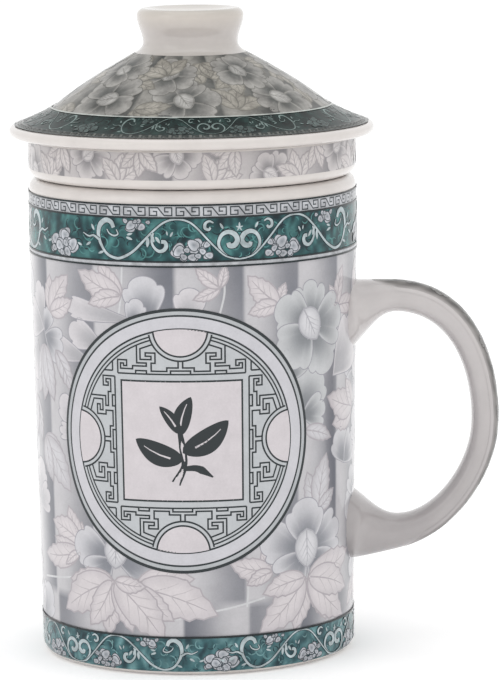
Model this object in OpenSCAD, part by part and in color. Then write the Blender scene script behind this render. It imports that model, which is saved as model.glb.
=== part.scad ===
// Lidded porcelain tea mug with a strainer basket that hangs in its mouth.
// Millimetres, +Z up. The origin is on the mug's axis, on the plane that the foot ring
// stands on, and the handle is on the +X side.

/* [Mug] */
// Outside diameter of the mug below its rim, which the infuser's band lines up with
mug_d = 75.5; // [70:0.5:90]
// Difference in diameter between the top of the wall and its foot
mug_taper = 3.1; // [0:0.1:8]
// Height of the rim
mug_h = 110.6; // [104:0.2:130]
// Height above which the wall runs straight up
straight_z = 94; // [88:1:100]
// Thickness of the wall
mug_wall = 3.4; // [2.4:0.1:4.5]
// Thickness of the floor
mug_floor = 3.6; // [2.5:0.1:6]
// Radius of the rim's outer edge
rim_outer_r = 2.4; // [1:0.1:2.6]
// Radius of the corner between wall and floor, inside
bowl_fillet = 6; // [2:0.5:10]

/* [Foot] */
// Radius of the corner between the wall and the foot ring
foot_corner_r = 2.6; // [1:0.1:4]
// Width of the flat ring that the mug stands on
foot_ring_w = 3; // [2:0.1:6]
// Depth of the recess inside the foot ring
recess_h = 1.6; // [0.8:0.1:3]

/* [Handle] */
// How far the handle stands out past the top of the wall
handle_reach = 32.9; // [28:0.1:45]
// Height of the upper arm's top edge
handle_top_z = 85.9; // [80:0.1:90]
// Height of the lower arm's bottom edge
handle_bottom_z = 23; // [16:0.1:30]
// Height of the point that is furthest out
handle_back_z = 53.6; // [48:0.1:60]
// Thickness of the upper arm
upper_arm_t = 7.2; // [5:0.1:9]
// Thickness of the lower arm
lower_arm_t = 7.9; // [5:0.1:9]
// Thickness at the back of the bow
handle_back_t = 6.4; // [4:0.1:9]
// Width of the strap
handle_w = 10.4; // [7:0.1:16]
// Length of the flared root at each end of the handle
root_len = 9.4; // [6:0.1:12]
// How much each root widens on the side of the finger gap: [upper, lower]
root_flare = [9.4, 6];
// How much each root widens sideways
root_side_flare = 3; // [0:0.1:6]
// How far the lower arm's edge drops over its root
root_drop = 2.2; // [0:0.1:4]

/* [Infuser] */
// Height of the band that shows between the mug and the lid
collar_h = 9.2; // [7:0.1:14]
// Thickness of that band
collar_wall = 2.9; // [2:0.1:3.6]
// Radius of the band's bottom edge
collar_corner_r = 2.2; // [0.6:0.1:2.4]
// Thickness of the ledge inside the band
ledge_t = 2.7; // [2:0.1:3.4]
// Depth of the shoulder that drops into the mug's mouth
shoulder_h = 5.2; // [3:0.1:8]
// Thickness of the shoulder and the basket
basket_wall = 2.7; // [1.8:0.1:3.4]
// Outside diameter at the top of the basket
basket_d = 60.4; // [52:0.2:62]
// Difference in diameter between the basket's top and bottom
basket_taper = 2.4; // [0:0.1:8]
// Height of the taper between the shoulder and the basket
basket_cone_h = 5.5; // [4:0.1:10]
// How far the basket hangs below the rim of the mug
basket_depth = 59.6; // [50:0.2:66]
// Radius of the basket's bottom edge
basket_corner_r = 4.4; // [3:0.1:8]

/* [Strainer holes] */
// Diameter of a strainer hole
hole_d = 2.2; // [1.2:0.1:3]
// Distance between the rings of holes in the bottom
hole_pitch = 5.5; // [4.5:0.1:8]
// Rings of holes round the middle one
hole_rings = 3; // [1:1:3]
// Rows of holes in the side
side_rows = 4; // [1:1:5]
// Holes in a row
row_holes = 18; // [8:1:24]
// Distance between rows
row_pitch = 6; // [4:0.1:8]
// Height of the lowest row above the basket's bottom
first_row_z = 7.5; // [6:0.1:12]

/* [Lid] */
// How far the lip stands out past the infuser's band
lip_overhang = 4.35; // [1:0.05:8]
// Thickness of the lip
lip_t = 2.5; // [1.6:0.1:4]
// Width of the hollow brim between the lip's edge and the dome
brim_w = 11.2; // [8:0.1:14]
// Height that the brim gains above the lip
brim_rise = 4.8; // [3:0.1:7]
// Height from the lid's underside to the land that carries the knob
lid_h = 19.6; // [16:0.1:26]
// Thickness of the dome, measured upright
lid_wall = 3.6; // [2.6:0.1:5]
// Thickness of the locating ring under the lid
ring_wall = 2.2; // [1.6:0.1:3]
// How far the locating ring reaches below the lip
ring_h = 4.2; // [2:0.1:5]

/* [Knob] */
// Diameter of the knob at its widest
knob_d = 24.6; // [18:0.2:32]
// Diameter of its neck
neck_d = 21.4; // [14:0.2:24]
// Height of the knob above its land
knob_h = 9.4; // [7:0.1:16]
// Radius of the knob's top edge
knob_edge_r = 1.7; // [0.6:0.1:2.5]
// Depth of the dish in the knob's top
dish_h = 1; // [0:0.1:2]

/* [Fits] */
// Gap at each seat, between the mug and the infuser and between the infuser and the lid
seat_gap = 0.1; // [0.05:0.05:0.5]
// Clearance all round between the shoulder and the mug's mouth
shoulder_gap = 0.8; // [0.3:0.1:1.5]
// Clearance all round between the locating ring and the infuser's band
ring_gap = 1; // [0.3:0.1:1.5]

/* [Hidden] */
$fn = 96;

// Steps in a rounded edge and in a long curve
edge_steps = 8;
curve_steps = 18;
// Small radius that breaks an edge, and how far a cut runs past a face
soft_r = 0.7;
past = 1;

// Mug
mug_r = mug_d / 2;
mug_foot_r = mug_r - mug_taper / 2;
bore_r = mug_r - mug_wall;
floor_z = recess_h + mug_floor;
rim_inner_r = mug_wall - rim_outer_r;
ring_outer_r = mug_foot_r - foot_corner_r;
recess_r = ring_outer_r - foot_ring_w;

// Infuser
collar_z = mug_h + seat_gap;
collar_top = collar_z + collar_h;
collar_inner_r = mug_r - collar_wall;
shoulder_r = bore_r - shoulder_gap;
shoulder_z = collar_z - shoulder_h;
basket_r = basket_d / 2;
basket_top = shoulder_z - basket_cone_h;
basket_z = mug_h - basket_depth;
basket_foot_r = basket_r - basket_taper / 2;

// Lid and knob
lid_z = collar_top + seat_gap;
lip_r = lip_t / 2;
lid_r = mug_r + lip_overhang;
dome_r = lid_r - brim_w;
dome_z = lid_z + lip_t + brim_rise;
land_z = lid_z + lid_h;
land_r = neck_d / 2 + soft_r;
ring_r = collar_inner_r - ring_gap;
knob_top = land_z + knob_h;

// Handle
root_x = mug_r + root_len;
back_x = mug_r + handle_reach;
// How full the upper and lower corners of the bow are, where 0.55 is a quarter of an ellipse
upper_full = 0.6;
lower_full = 0.47;
// Slope of the lower arm where it leaves its root
arm_slope = 0.16;
// Points round the strap, and the power that squares its section a little
strap_sides = 24;
strap_power = 0.86;

// Points of an arc about c, from angle a to angle b
function arc(c, r, a, b) =
    [for (i = [0 : edge_steps]) let (t = a + (b - a) * i / edge_steps) c + r * [cos(t), sin(t)]];

// Points of a cubic curve from p to s, pulled towards q and r
function curve(p, q, r, s, steps = curve_steps) =
    [for (i = [0 : steps]) let (t = i / steps, u = 1 - t)
        u * u * u * p + 3 * u * u * t * q + 3 * u * t * t * r + t * t * t * s];

// The same points with each one that repeats the point before it left out
function merged(points) =
    [for (i = [0 : len(points) - 1])
        if (i == 0 || norm(points[i] - points[max(i, 1) - 1]) > 0.001) points[i]];

// Outer line of the mug's section, from the inside of the foot ring up to the rim's crest
function mug_outside() = concat(
    [[recess_r, 0]],
    arc([ring_outer_r, foot_corner_r], foot_corner_r, -90, 0),
    [[mug_r, straight_z]],
    arc([mug_r - rim_outer_r, mug_h - rim_outer_r], rim_outer_r, 0, 90));

// Inner line of the mug's section, from the crest down to the middle of the floor
function mug_inside() = concat(
    arc([bore_r + rim_inner_r, mug_h - rim_inner_r], rim_inner_r, 90, 180),
    [[bore_r, straight_z]],
    arc([mug_foot_r - mug_wall - bowl_fillet, floor_z + bowl_fillet], bowl_fillet, 0, -90),
    [[0, floor_z]]);

module mug_body() {
    color("ivory")
        rotate_extrude()
            polygon(merged(concat(
                mug_outside(),
                mug_inside(),
                [[0, recess_h], [recess_r, recess_h]])));
}

// The space that the mug fills, with its inside closed
module mug_space() {
    rotate_extrude()
        polygon(merged(concat([[0, 0]], mug_outside(), [[0, mug_h]])));
}

// Edge of the handle that faces away from the mug, from the upper root to the lower one
function handle_outside() = concat(
    curve([bore_r, handle_top_z], [mug_r, handle_top_z],
        [mug_r, handle_top_z], [root_x, handle_top_z]),
    curve([root_x, handle_top_z],
        [root_x + upper_full * (back_x - root_x), handle_top_z],
        [back_x, handle_back_z + upper_full * (handle_top_z - handle_back_z)],
        [back_x, handle_back_z]),
    curve([back_x, handle_back_z],
        [back_x, handle_back_z - lower_full * (handle_back_z - handle_bottom_z)],
        [root_x + lower_full * (back_x - root_x),
            handle_bottom_z + arm_slope * lower_full * (back_x - root_x)],
        [root_x, handle_bottom_z]),
    curve([root_x, handle_bottom_z],
        [mug_r, handle_bottom_z - root_drop],
        [mug_r, handle_bottom_z - root_drop],
        [bore_r, handle_bottom_z - root_drop]));

// Edge of the handle that faces the mug, point for point beside the other one
function handle_inside() =
    let (
        top_z = handle_top_z - upper_arm_t,
        low_z = handle_bottom_z + lower_arm_t,
        x = back_x - handle_back_t,
        wide_x = mug_r + root_len / 2
    ) concat(
        curve([bore_r, top_z - root_flare[0] - mug_wall / 2], [mug_r + root_len / 3, top_z - root_flare[0] / 2],
            [wide_x, top_z], [root_x, top_z]),
        curve([root_x, top_z], [root_x + upper_full * (x - root_x), top_z],
            [x, handle_back_z + upper_full * (top_z - handle_back_z)], [x, handle_back_z]),
        curve([x, handle_back_z], [x, handle_back_z - lower_full * (handle_back_z - low_z)],
            [root_x + lower_full * (x - root_x), low_z], [root_x, low_z]),
        curve([root_x, low_z], [wide_x, low_z], [mug_r + root_len / 3, low_z + root_flare[1] / 2],
            [bore_r, low_z + root_flare[1] + mug_wall / 2]));

// One closed section of the strap between two facing points of its edges
function strap_ring(a, b) =
    let (
        middle = (a + b) / 2,
        half = (a - b) / 2,
        open = max(0, 1 - max(0, middle[0] - mug_r) / root_len),
        side = handle_w / 2 + root_side_flare * open * open
    ) [for (i = [0 : strap_sides - 1])
        let (
            c = cos(360 * i / strap_sides),
            s = sin(360 * i / strap_sides),
            p = middle + half * sign(c) * pow(abs(c), strap_power)
        ) [p[0], side * sign(s) * pow(abs(s), strap_power), p[1]]];

module handle() {
    outside = merged(handle_outside());
    inside = merged(handle_inside());
    rings = len(outside);
    points = [for (k = [0 : rings - 1]) each strap_ring(outside[k], inside[k])];
    sides = [for (k = [0 : rings - 2], i = [0 : strap_sides - 1])
        let (j = (i + 1) % strap_sides)
        [k * strap_sides + i, k * strap_sides + j, (k + 1) * strap_sides + j, (k + 1) * strap_sides + i]];
    start = [for (i = [strap_sides - 1 : -1 : 0]) i];
    end = [for (i = [0 : strap_sides - 1]) (rings - 1) * strap_sides + i];
    color("gainsboro")
        difference() {
            polyhedron(concat(points), concat(sides, [start, end]));
            mug_space();
        }
}

module infuser_shell() {
    rotate_extrude()
        polygon(merged(concat(
            [[0, basket_z]],
            arc([basket_foot_r - basket_corner_r, basket_z + basket_corner_r], basket_corner_r, -90, 0),
            [[basket_r, basket_top], [shoulder_r, shoulder_z], [shoulder_r, collar_z]],
            arc([mug_r - collar_corner_r, collar_z + collar_corner_r], collar_corner_r, -90, 0),
            arc([mug_r - soft_r, collar_top - soft_r], soft_r, 0, 90),
            arc([collar_inner_r + soft_r, collar_top - soft_r], soft_r, 90, 180),
            arc([collar_inner_r - soft_r, collar_z + ledge_t + soft_r], soft_r, 0, -90),
            arc([shoulder_r - basket_wall + soft_r, collar_z + ledge_t - soft_r], soft_r, 90, 180),
            [[shoulder_r - basket_wall, shoulder_z], [basket_r - basket_wall, basket_top]],
            arc([basket_foot_r - basket_corner_r, basket_z + basket_corner_r],
                basket_corner_r - basket_wall, 0, -90),
            [[0, basket_z + basket_wall]])));
}

module bottom_holes() {
    for (ring = [0 : hole_rings], i = [0 : max(0, 6 * ring - 1)])
        rotate(ring == 0 ? 0 : 60 * i / ring)
            translate([ring * hole_pitch, 0, basket_z - past])
                cylinder(d = hole_d, h = basket_wall + 2 * past, $fn = 24);
}

module side_holes() {
    for (row = [0 : side_rows - 1], i = [0 : row_holes - 1])
        rotate((i + (row % 2) / 2) * 360 / row_holes)
            translate([basket_r / 2, 0, basket_z + first_row_z + row * row_pitch])
                rotate([0, 90, 0])
                    cylinder(d = hole_d, h = basket_r / 2 + past, $fn = 24);
}

module infuser() {
    color("mistyrose")
        difference() {
            infuser_shell();
            bottom_holes();
            side_holes();
        }
}

// Upper line of the lid's section, from the top of the lip in to the knob's land
function lid_top() = concat(
    curve([lid_r - lip_r, lid_z + lip_t], [lid_r - brim_w / 3, lid_z + lip_t + brim_rise / 6],
        [dome_r + brim_w / 4, dome_z - brim_rise / 2.4], [dome_r, dome_z]),
    curve([dome_r, dome_z], [dome_r - (dome_r - land_r) / 3, dome_z + (land_z - dome_z) * 0.42],
        [land_r + (dome_r - land_r) / 3, land_z - (land_z - dome_z) * 0.3], [land_r, land_z]));

module lid() {
    inner_r = ring_r - ring_wall;
    under = [for (p = lid_top()) if (p[0] < inner_r) p - [0, lid_wall]];
    under_z = under[0][1];
    color("darkseagreen")
        rotate_extrude()
            polygon(merged(concat(
                arc([lid_r - lip_r, lid_z + lip_r], lip_r, -90, 90),
                lid_top(),
                [[0, land_z], [0, land_z - lid_wall]],
                [for (i = [len(under) - 1 : -1 : 0]) under[i]],
                [[inner_r, under_z - soft_r]],
                arc([inner_r + soft_r, lid_z - ring_h + soft_r], soft_r, 180, 270),
                arc([ring_r - soft_r, lid_z - ring_h + soft_r], soft_r, 270, 360),
                [[ring_r, lid_z]])));
}

module lid_knob() {
    r = knob_d / 2;
    waist_z = land_z + (knob_h - knob_edge_r) / 3;
    color("white")
        rotate_extrude()
            polygon(merged(concat(
                [[0, land_z]],
                curve([land_r, land_z], [neck_d / 2 - soft_r, waist_z],
                    [r, waist_z + knob_h / 4], [r, knob_top - knob_edge_r]),
                arc([r - knob_edge_r, knob_top - knob_edge_r], knob_edge_r, 0, 90),
                curve([r - knob_edge_r, knob_top], [r * 0.7, knob_top],
                    [r * 0.6, knob_top - dish_h], [0, knob_top - dish_h]))));
}

mug_body();
handle();
infuser();
lid();
lid_knob();
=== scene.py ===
"""A lidded porcelain tea mug with an infuser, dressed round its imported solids.

The turned pieces are spun from the sections that the solids have. The printed
decoration lies on them as thin sheets and ribbons, drawn on the unrolled surface
in millimetres: across, from the middle of the front, and up. Azimuths are in degrees,
0 at the front (-Y) and 90 at the handle (+X).
"""
import math

import bpy
import numpy as np
from mathutils import Matrix, Vector


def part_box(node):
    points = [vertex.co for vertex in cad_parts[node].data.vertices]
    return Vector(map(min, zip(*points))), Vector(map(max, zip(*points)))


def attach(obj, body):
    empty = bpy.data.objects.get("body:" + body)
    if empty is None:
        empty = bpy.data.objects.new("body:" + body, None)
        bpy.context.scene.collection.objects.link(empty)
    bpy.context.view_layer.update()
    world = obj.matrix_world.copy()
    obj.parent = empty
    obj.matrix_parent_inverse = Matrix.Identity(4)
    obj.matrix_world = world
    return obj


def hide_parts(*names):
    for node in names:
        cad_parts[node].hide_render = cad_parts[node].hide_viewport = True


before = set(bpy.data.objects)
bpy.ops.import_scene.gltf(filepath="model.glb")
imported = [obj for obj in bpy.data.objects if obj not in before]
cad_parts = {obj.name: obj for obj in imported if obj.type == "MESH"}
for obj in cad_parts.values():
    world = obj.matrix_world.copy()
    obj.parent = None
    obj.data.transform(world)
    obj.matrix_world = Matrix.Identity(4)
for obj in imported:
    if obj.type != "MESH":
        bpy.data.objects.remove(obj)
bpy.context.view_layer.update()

MM = 0.001

# ---------------------------------------------------------------- sizes

# Read from the frame, in millimetres
MUG_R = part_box("mug_body")[1].y / MM
RIM_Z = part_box("mug_body")[1].z / MM
COLLAR_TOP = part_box("infuser")[1].z / MM
LID_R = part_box("lid")[1].y / MM
LAND_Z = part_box("lid")[1].z / MM
KNOB_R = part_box("lid_knob")[1].y / MM
KNOB_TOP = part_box("lid_knob")[1].z / MM

# Mug
FOOT_R = MUG_R - 1.55
STRAIGHT_Z = 94
WALL = 3.4
RECESS_H = 1.6
FLOOR_Z = RECESS_H + 3.6
FOOT_CORNER_R = 2.6
FOOT_RING_W = 3
RIM_OUTER_R = 2.4
BOWL_FILLET = 6

# Infuser
SEAT_GAP = 0.1
COLLAR_Z = RIM_Z + SEAT_GAP
COLLAR_WALL = 2.9
COLLAR_CORNER_R = 2.2
COLLAR_FOOT_W = 1.2
EDGE_R = 0.7

# Lid and knob
LID_Z = COLLAR_TOP + SEAT_GAP
LIP_T = 2.5
BRIM_W = 11.2
BRIM_RISE = 4.8
# How full the dome is, as shares of its rise: where it leaves the brim, and below the knob
DOME_FULL = 0.42
CREST_FULL = 0.3
DOME_R = LID_R - BRIM_W
DOME_Z = LID_Z + LIP_T + BRIM_RISE
LID_WALL = 3.6
RING_R = MUG_R - COLLAR_WALL - 1
RING_WALL = 2.2
RING_H = 4.2
NECK_R = 10.7
KNOB_EDGE_R = 1.7
DISH_H = 1
# Width of the cove of glaze round the knob's foot
KNOB_COVE = 1.3

# Handle
ROOT_LEN = 9.4
HANDLE_REACH = 32.9
HANDLE_TOP_Z = 85.9
HANDLE_BACK_Z = 53.6
HANDLE_BOTTOM_Z = 23
UPPER_ARM_T = 7.2
BACK_T = 6.4
LOWER_ARM_T = 7.9
HANDLE_W = 10.4

# How far one printed shape lies over another, and the least face that is kept, in square metres
LAYER = 0.004
LEAST_FACE = 1e-11

# The squares by which print is layered: how wide, and how many round a surface
CELL = 0.8
CELLS = 300

# How finely curves are drawn, and the longest steps of a stroke and of a filled shape's edge
SPIN_STEPS = 240
EDGE_STEPS = 10
CURVE_STEPS = 24
FLOW_STEPS = 6
STROKE_STEP = 0.9
FILL_STEP = 1.2

# Points closer than this are one
SAME_POINT = 0.001

# Faces that meet at less than this many degrees are shaded as one
TURNED_SMOOTH = 50
HANDLE_SMOOTH = 60
INFUSER_SMOOTH = 30


def arc(x, z, r, a, b, steps=EDGE_STEPS):
    """Points of an arc about (x, z) from angle a to angle b, in degrees."""
    turns = [math.radians(a + (b - a) * i / steps) for i in range(steps + 1)]
    return [(x + r * math.cos(t), z + r * math.sin(t)) for t in turns]


def curve(p, q, r, s):
    """Points of a cubic curve from p to s, pulled towards q and r."""
    points = []
    for i in range(CURVE_STEPS + 1):
        t = i / CURVE_STEPS
        u = 1 - t
        weights = (u * u * u, 3 * u * u * t, 3 * u * t * t, t * t * t)
        points.append(tuple(sum(w * c[k] for w, c in zip(weights, (p, q, r, s))) for k in (0, 1)))
    return points


def merged(points):
    """The points without those that repeat the one before."""
    kept = [points[0]]
    for p in points[1:]:
        if math.dist(p, kept[-1]) > SAME_POINT:
            kept.append(p)
    return kept


# ---------------------------------------------------------------- sections

def mug_outside():
    """The mug's wall from its foot ring to the crest of its rim."""
    return (
        arc(FOOT_R - FOOT_CORNER_R, FOOT_CORNER_R, FOOT_CORNER_R, -90, 0)
        + [(MUG_R, STRAIGHT_Z)]
        + arc(MUG_R - RIM_OUTER_R, RIM_Z - RIM_OUTER_R, RIM_OUTER_R, 0, 90)
    )


def mug_section():
    """The whole mug, from the middle of its recessed base round to the middle of its floor."""
    recess_r = FOOT_R - FOOT_CORNER_R - FOOT_RING_W
    rim_inner_r = WALL - RIM_OUTER_R
    return merged(
        [(0, RECESS_H), (recess_r, RECESS_H), (recess_r, 0)]
        + mug_outside()
        + arc(MUG_R - WALL + rim_inner_r, RIM_Z - rim_inner_r, rim_inner_r, 90, 180)
        + [(MUG_R - WALL, STRAIGHT_Z)]
        + arc(FOOT_R - WALL - BOWL_FILLET, FLOOR_Z + BOWL_FILLET, BOWL_FILLET, 0, -90)
        + [(0, FLOOR_Z)]
    )


def lid_top():
    """The lid's upper face from its lip to the land that the knob stands on."""
    land_r = NECK_R + EDGE_R
    return curve(
        (LID_R - LIP_T / 2, LID_Z + LIP_T),
        (LID_R - BRIM_W / 3, LID_Z + LIP_T + BRIM_RISE / 6),
        (DOME_R + BRIM_W / 4, DOME_Z - BRIM_RISE / 2.4),
        (DOME_R, DOME_Z),
    ) + curve(
        (DOME_R, DOME_Z),
        (DOME_R - (DOME_R - land_r) / 3, DOME_Z + (LAND_Z - DOME_Z) * DOME_FULL),
        (land_r + (DOME_R - land_r) / 3, LAND_Z - (LAND_Z - DOME_Z) * CREST_FULL),
        (land_r, LAND_Z),
    )


def lid_section():
    """The whole lid, its locating ring below it."""
    inner_r = RING_R - RING_WALL
    under = [(r, z - LID_WALL) for r, z in lid_top() if r < inner_r]
    return merged(
        [(0, LAND_Z - LID_WALL)]
        + under[::-1]
        + [(inner_r, under[0][1] - EDGE_R)]
        + arc(inner_r + EDGE_R, LID_Z - RING_H + EDGE_R, EDGE_R, 180, 270)
        + arc(RING_R - EDGE_R, LID_Z - RING_H + EDGE_R, EDGE_R, 270, 360)
        + [(RING_R, LID_Z)]
        + arc(LID_R - LIP_T / 2, LID_Z + LIP_T / 2, LIP_T / 2, -90, 90)
        + lid_top()
        + [(0, LAND_Z)]
    )


def knob_section():
    """The knob, with the cove of glaze that gathers round its foot."""
    waist_z = LAND_Z + (KNOB_TOP - LAND_Z - KNOB_EDGE_R) / 3
    rise = curve(
        (NECK_R + EDGE_R, LAND_Z),
        (NECK_R - EDGE_R, waist_z),
        (KNOB_R, waist_z + (KNOB_TOP - LAND_Z) / 4),
        (KNOB_R, KNOB_TOP - KNOB_EDGE_R),
    )
    # The cove takes the place of the lowest fifth
    rise = rise[len(rise) // 5:]
    neck_r, neck_z = rise[0]
    foot_r = NECK_R + EDGE_R + KNOB_COVE
    foot_z = np.interp(foot_r, *np.array(lid_top()[::-1]).T)
    return merged(
        [(0, foot_z - EDGE_R), (foot_r, foot_z - EDGE_R)]
        + curve(
            (foot_r, foot_z),
            (NECK_R + EDGE_R, LAND_Z),
            (neck_r, (LAND_Z + neck_z) / 2),
            (neck_r, neck_z),
        )
        + rise[1:]
        + arc(KNOB_R - KNOB_EDGE_R, KNOB_TOP - KNOB_EDGE_R, KNOB_EDGE_R, 0, 90)
        + curve(
            (KNOB_R - KNOB_EDGE_R, KNOB_TOP),
            (KNOB_R * 0.7, KNOB_TOP),
            (KNOB_R * 0.6, KNOB_TOP - DISH_H),
            (0, KNOB_TOP - DISH_H),
        )
    )


def collar_outside():
    """The infuser's band between the mug's rim and the lid."""
    return (
        [(MUG_R - COLLAR_CORNER_R - COLLAR_FOOT_W, COLLAR_Z)]
        + arc(MUG_R - COLLAR_CORNER_R, COLLAR_Z + COLLAR_CORNER_R, COLLAR_CORNER_R, -90, 0)
        + arc(MUG_R - EDGE_R, COLLAR_TOP - EDGE_R, EDGE_R, 0, 90)
    )


# ---------------------------------------------------------------- shader maths

class Val:
    """A shader socket that takes part in ordinary arithmetic."""

    def __init__(self, paint, socket):
        self.paint = paint
        self.socket = socket

    def __add__(self, other):
        return self.paint.add("ShaderNodeMath", [self, other], operation="ADD")

    __radd__ = __add__

    def __mul__(self, other):
        return self.paint.add("ShaderNodeMath", [self, other], operation="MULTIPLY")

    __rmul__ = __mul__


class Paint:
    """One material under construction, with a node for each step of its recipe."""

    def __init__(self, name):
        self.material = bpy.data.materials.new(name)
        self.material.use_nodes = True
        self.nodes = self.material.node_tree.nodes
        self.links = self.material.node_tree.links
        self.shader = self.nodes["Principled BSDF"]

    def add(self, kind, values=(), output=0, **settings):
        """A node of this type; settings first, then its inputs by number or by name."""
        node = self.nodes.new(kind)
        for name, value in settings.items():
            setattr(node, name, value)
        pairs = values.items() if isinstance(values, dict) else enumerate(values)
        for key, value in pairs:
            if isinstance(value, Val):
                self.links.new(value.socket, node.inputs[key])
            else:
                node.inputs[key].default_value = value
        return Val(self, node.outputs[output])

    def place(self):
        """Object coordinates, in metres."""
        return self.add("ShaderNodeTexCoord", output="Object")

    def noise(self, scale, detail=2.0, rough=0.5):
        values = {"Vector": self.place(), "Scale": scale, "Detail": detail, "Roughness": rough}
        return self.add("ShaderNodeTexNoise", values)

    def span(self, value, low, high, out_low=0.0, out_high=1.0):
        """The value from low to high, stretched over out_low to out_high and held there."""
        return self.add("ShaderNodeMapRange", [value, low, high, out_low, out_high])

    def mix(self, share, first, second):
        """A colour between two: the first where the share is 0."""
        values = {"Factor": share, 6: first, 7: second}
        return self.add("ShaderNodeMix", values, output=2, data_type="RGBA")

    def tint(self):
        """The colour that a drawing was given, point by point."""
        return self.add("ShaderNodeAttribute", output="Color", attribute_name="tint")

    def set(self, **sockets):
        """Plain values and links of the shader's own sockets."""
        for name, value in sockets.items():
            socket = self.shader.inputs[name.replace("_", " ")]
            if isinstance(value, Val):
                self.links.new(value.socket, socket)
            else:
                socket.default_value = value
        return self.material


def rgb(r, g, b):
    """A colour as seen on screen, 0 to 255, as linear light."""
    def linear(c):
        c /= 255
        return c / 12.92 if c <= 0.04045 else ((c + 0.055) / 1.055) ** 2.4
    return (linear(r), linear(g), linear(b), 1.0)


# The waves and pits of a fired glaze: how many to a metre, how deep in metres, and how much
# of their height shows
WAVES_SCALE = 90
PITS_SCALE = 900
PITS_SHARE = 0.08
GLAZE_DEPTH = 0.0004
GLAZE_BUMP = 0.05
# Glaze is glossier in some places than in others
GLOSS_SCALE = 220
GLAZE_ROUGH = (0.10, 0.17)
COAT_ROUGH = 0.04
GLAZE_IOR = 1.5
# Fired colour is cloudy: how finely, and how much darker where it is darkest
MOTTLE_SCALE = 160
MOTTLE_LEAST = 0.93


def mottle(paint, low, high):
    """A cloudy shade, held between low and high."""
    return paint.span(paint.noise(MOTTLE_SCALE, 3, 0.6), 0.35, 0.7, low, high)


def glazed(name, colour, gloss=0.5, coat=0.5):
    """Clear glaze over a colour: gloss that varies a little and the faint waves of a fired surface.

    colour is a plain colour, or a function of the paint that returns one.
    """
    paint = Paint(name)
    waves = paint.noise(WAVES_SCALE, 2, 0.5)
    pits = paint.noise(PITS_SCALE, 2, 0.6)
    relief = {"Strength": GLAZE_BUMP, "Distance": GLAZE_DEPTH, "Height": waves + pits * PITS_SHARE}
    shape = paint.add("ShaderNodeBump", relief, output="Normal")
    if callable(colour):
        base = colour(paint)
    else:
        darker = tuple(MOTTLE_LEAST * c for c in colour[:3]) + (1.0,)
        base = paint.mix(mottle(paint, 0, 1), colour, darker)
    return paint.set(
        Base_Color=base,
        Roughness=paint.span(paint.noise(GLOSS_SCALE, 3), 0.3, 0.75, *GLAZE_ROUGH),
        Normal=shape,
        Specular_IOR_Level=gloss,
        Coat_Weight=coat,
        Coat_Roughness=COAT_ROUGH,
        IOR=GLAZE_IOR,
    )


# ---------------------------------------------------------------- surfaces

# A surface that closes in by less than this for each millimetre up it is unrolled as a straight one
STRAIGHT = 0.03


def unit(rows):
    """Each row at length 1."""
    return rows / np.linalg.norm(rows, axis=1)[:, None]


class Turned:
    """A turned surface unrolled: up is the length along its section, in millimetres."""

    def __init__(self, section):
        self.points = np.array(merged(section), float)
        steps = np.diff(self.points, axis=0)
        lengths = np.linalg.norm(steps, axis=1)
        self.up = np.concatenate([[0], np.cumsum(lengths)])
        slopes = steps / lengths[:, None]
        at = np.vstack([slopes[:1], (slopes[:-1] + slopes[1:]) / 2, slopes[-1:]])
        self.normals = unit(np.column_stack([at[:, 1], -at[:, 0]]))

    def up_at(self, height):
        """How far up the section a height is, on a section that only rises."""
        return float(np.interp(height, self.points[:, 1], self.up))

    def radius(self, up):
        return np.interp(up, self.up, self.points[:, 0])

    def cells(self, azimuth, up):
        """The squares of the surface that points lie in."""
        return (azimuth % math.tau / math.tau * CELLS).astype(int) % CELLS, (up / CELL).astype(int)

    def wrap(self, azimuth, up, lift):
        """Places in metres, and outward normals, of points at an azimuth (radians)."""
        r, z, nr, nz = (np.interp(up, self.up, c) for c in (*self.points.T, *self.normals.T))
        size = np.hypot(nr, nz)
        nr, nz = nr / size, nz / size
        r, z = r + lift * nr, z + lift * nz
        s, c = np.sin(azimuth), np.cos(azimuth)
        places = np.stack([r * s, -r * c, z], axis=-1) * MM
        return places, np.stack([nr * s, -nr * c, nz], axis=-1)

    def flat(self, xy, at, follow):
        """Azimuths and heights of flat points laid round the point at (degrees, up).

        They keep their true shape there, or with follow they bend along with the turning.
        """
        azimuth, up = math.radians(at[0]), at[1]
        closing = self.radius(up - 0.5) - self.radius(up + 0.5)
        if follow or closing < STRAIGHT:
            return azimuth + xy[:, 0] / self.radius(up), up + xy[:, 1]
        reach = self.radius(up) / closing
        away = np.hypot(xy[:, 0], reach - xy[:, 1])
        turned_by = np.arctan2(xy[:, 0], reach - xy[:, 1])
        return azimuth + turned_by / closing, up + reach - away


# ---------------------------------------------------------------- making meshes

def deselect_all():
    for o in bpy.context.selected_objects:
        o.select_set(False)


def finished(piece, body, material):
    """Gives the piece its material, and the body that it moves with."""
    piece.data.materials.clear()
    piece.data.materials.append(material)
    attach(piece, body)


def stands_for(piece, body, node, material):
    """The piece takes the place of a CAD node, which is hidden."""
    finished(piece, body, material)
    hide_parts(node)


def linked(name, data):
    """A new object in the scene: a piece from its mesh, a lamp or the camera."""
    thing = bpy.data.objects.new(name, data)
    bpy.context.collection.objects.link(thing)
    return thing


def smoothed(piece, degrees, slivers=False, outwards=True):
    """Merges a piece's doubled points, its slivers too where it has some, and shades it smooth."""
    deselect_all()
    piece.select_set(True)
    bpy.context.view_layer.objects.active = piece
    bpy.ops.object.mode_set(mode="EDIT")
    bpy.ops.mesh.select_all(action="SELECT")
    bpy.ops.mesh.remove_doubles(threshold=SAME_POINT * MM)
    if slivers:
        bpy.ops.mesh.dissolve_degenerate(threshold=SAME_POINT * MM)
    if outwards:
        bpy.ops.mesh.normals_make_consistent(inside=False)
    bpy.ops.object.mode_set(mode="OBJECT")
    bpy.ops.object.shade_smooth_by_angle(angle=math.radians(degrees))


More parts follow.
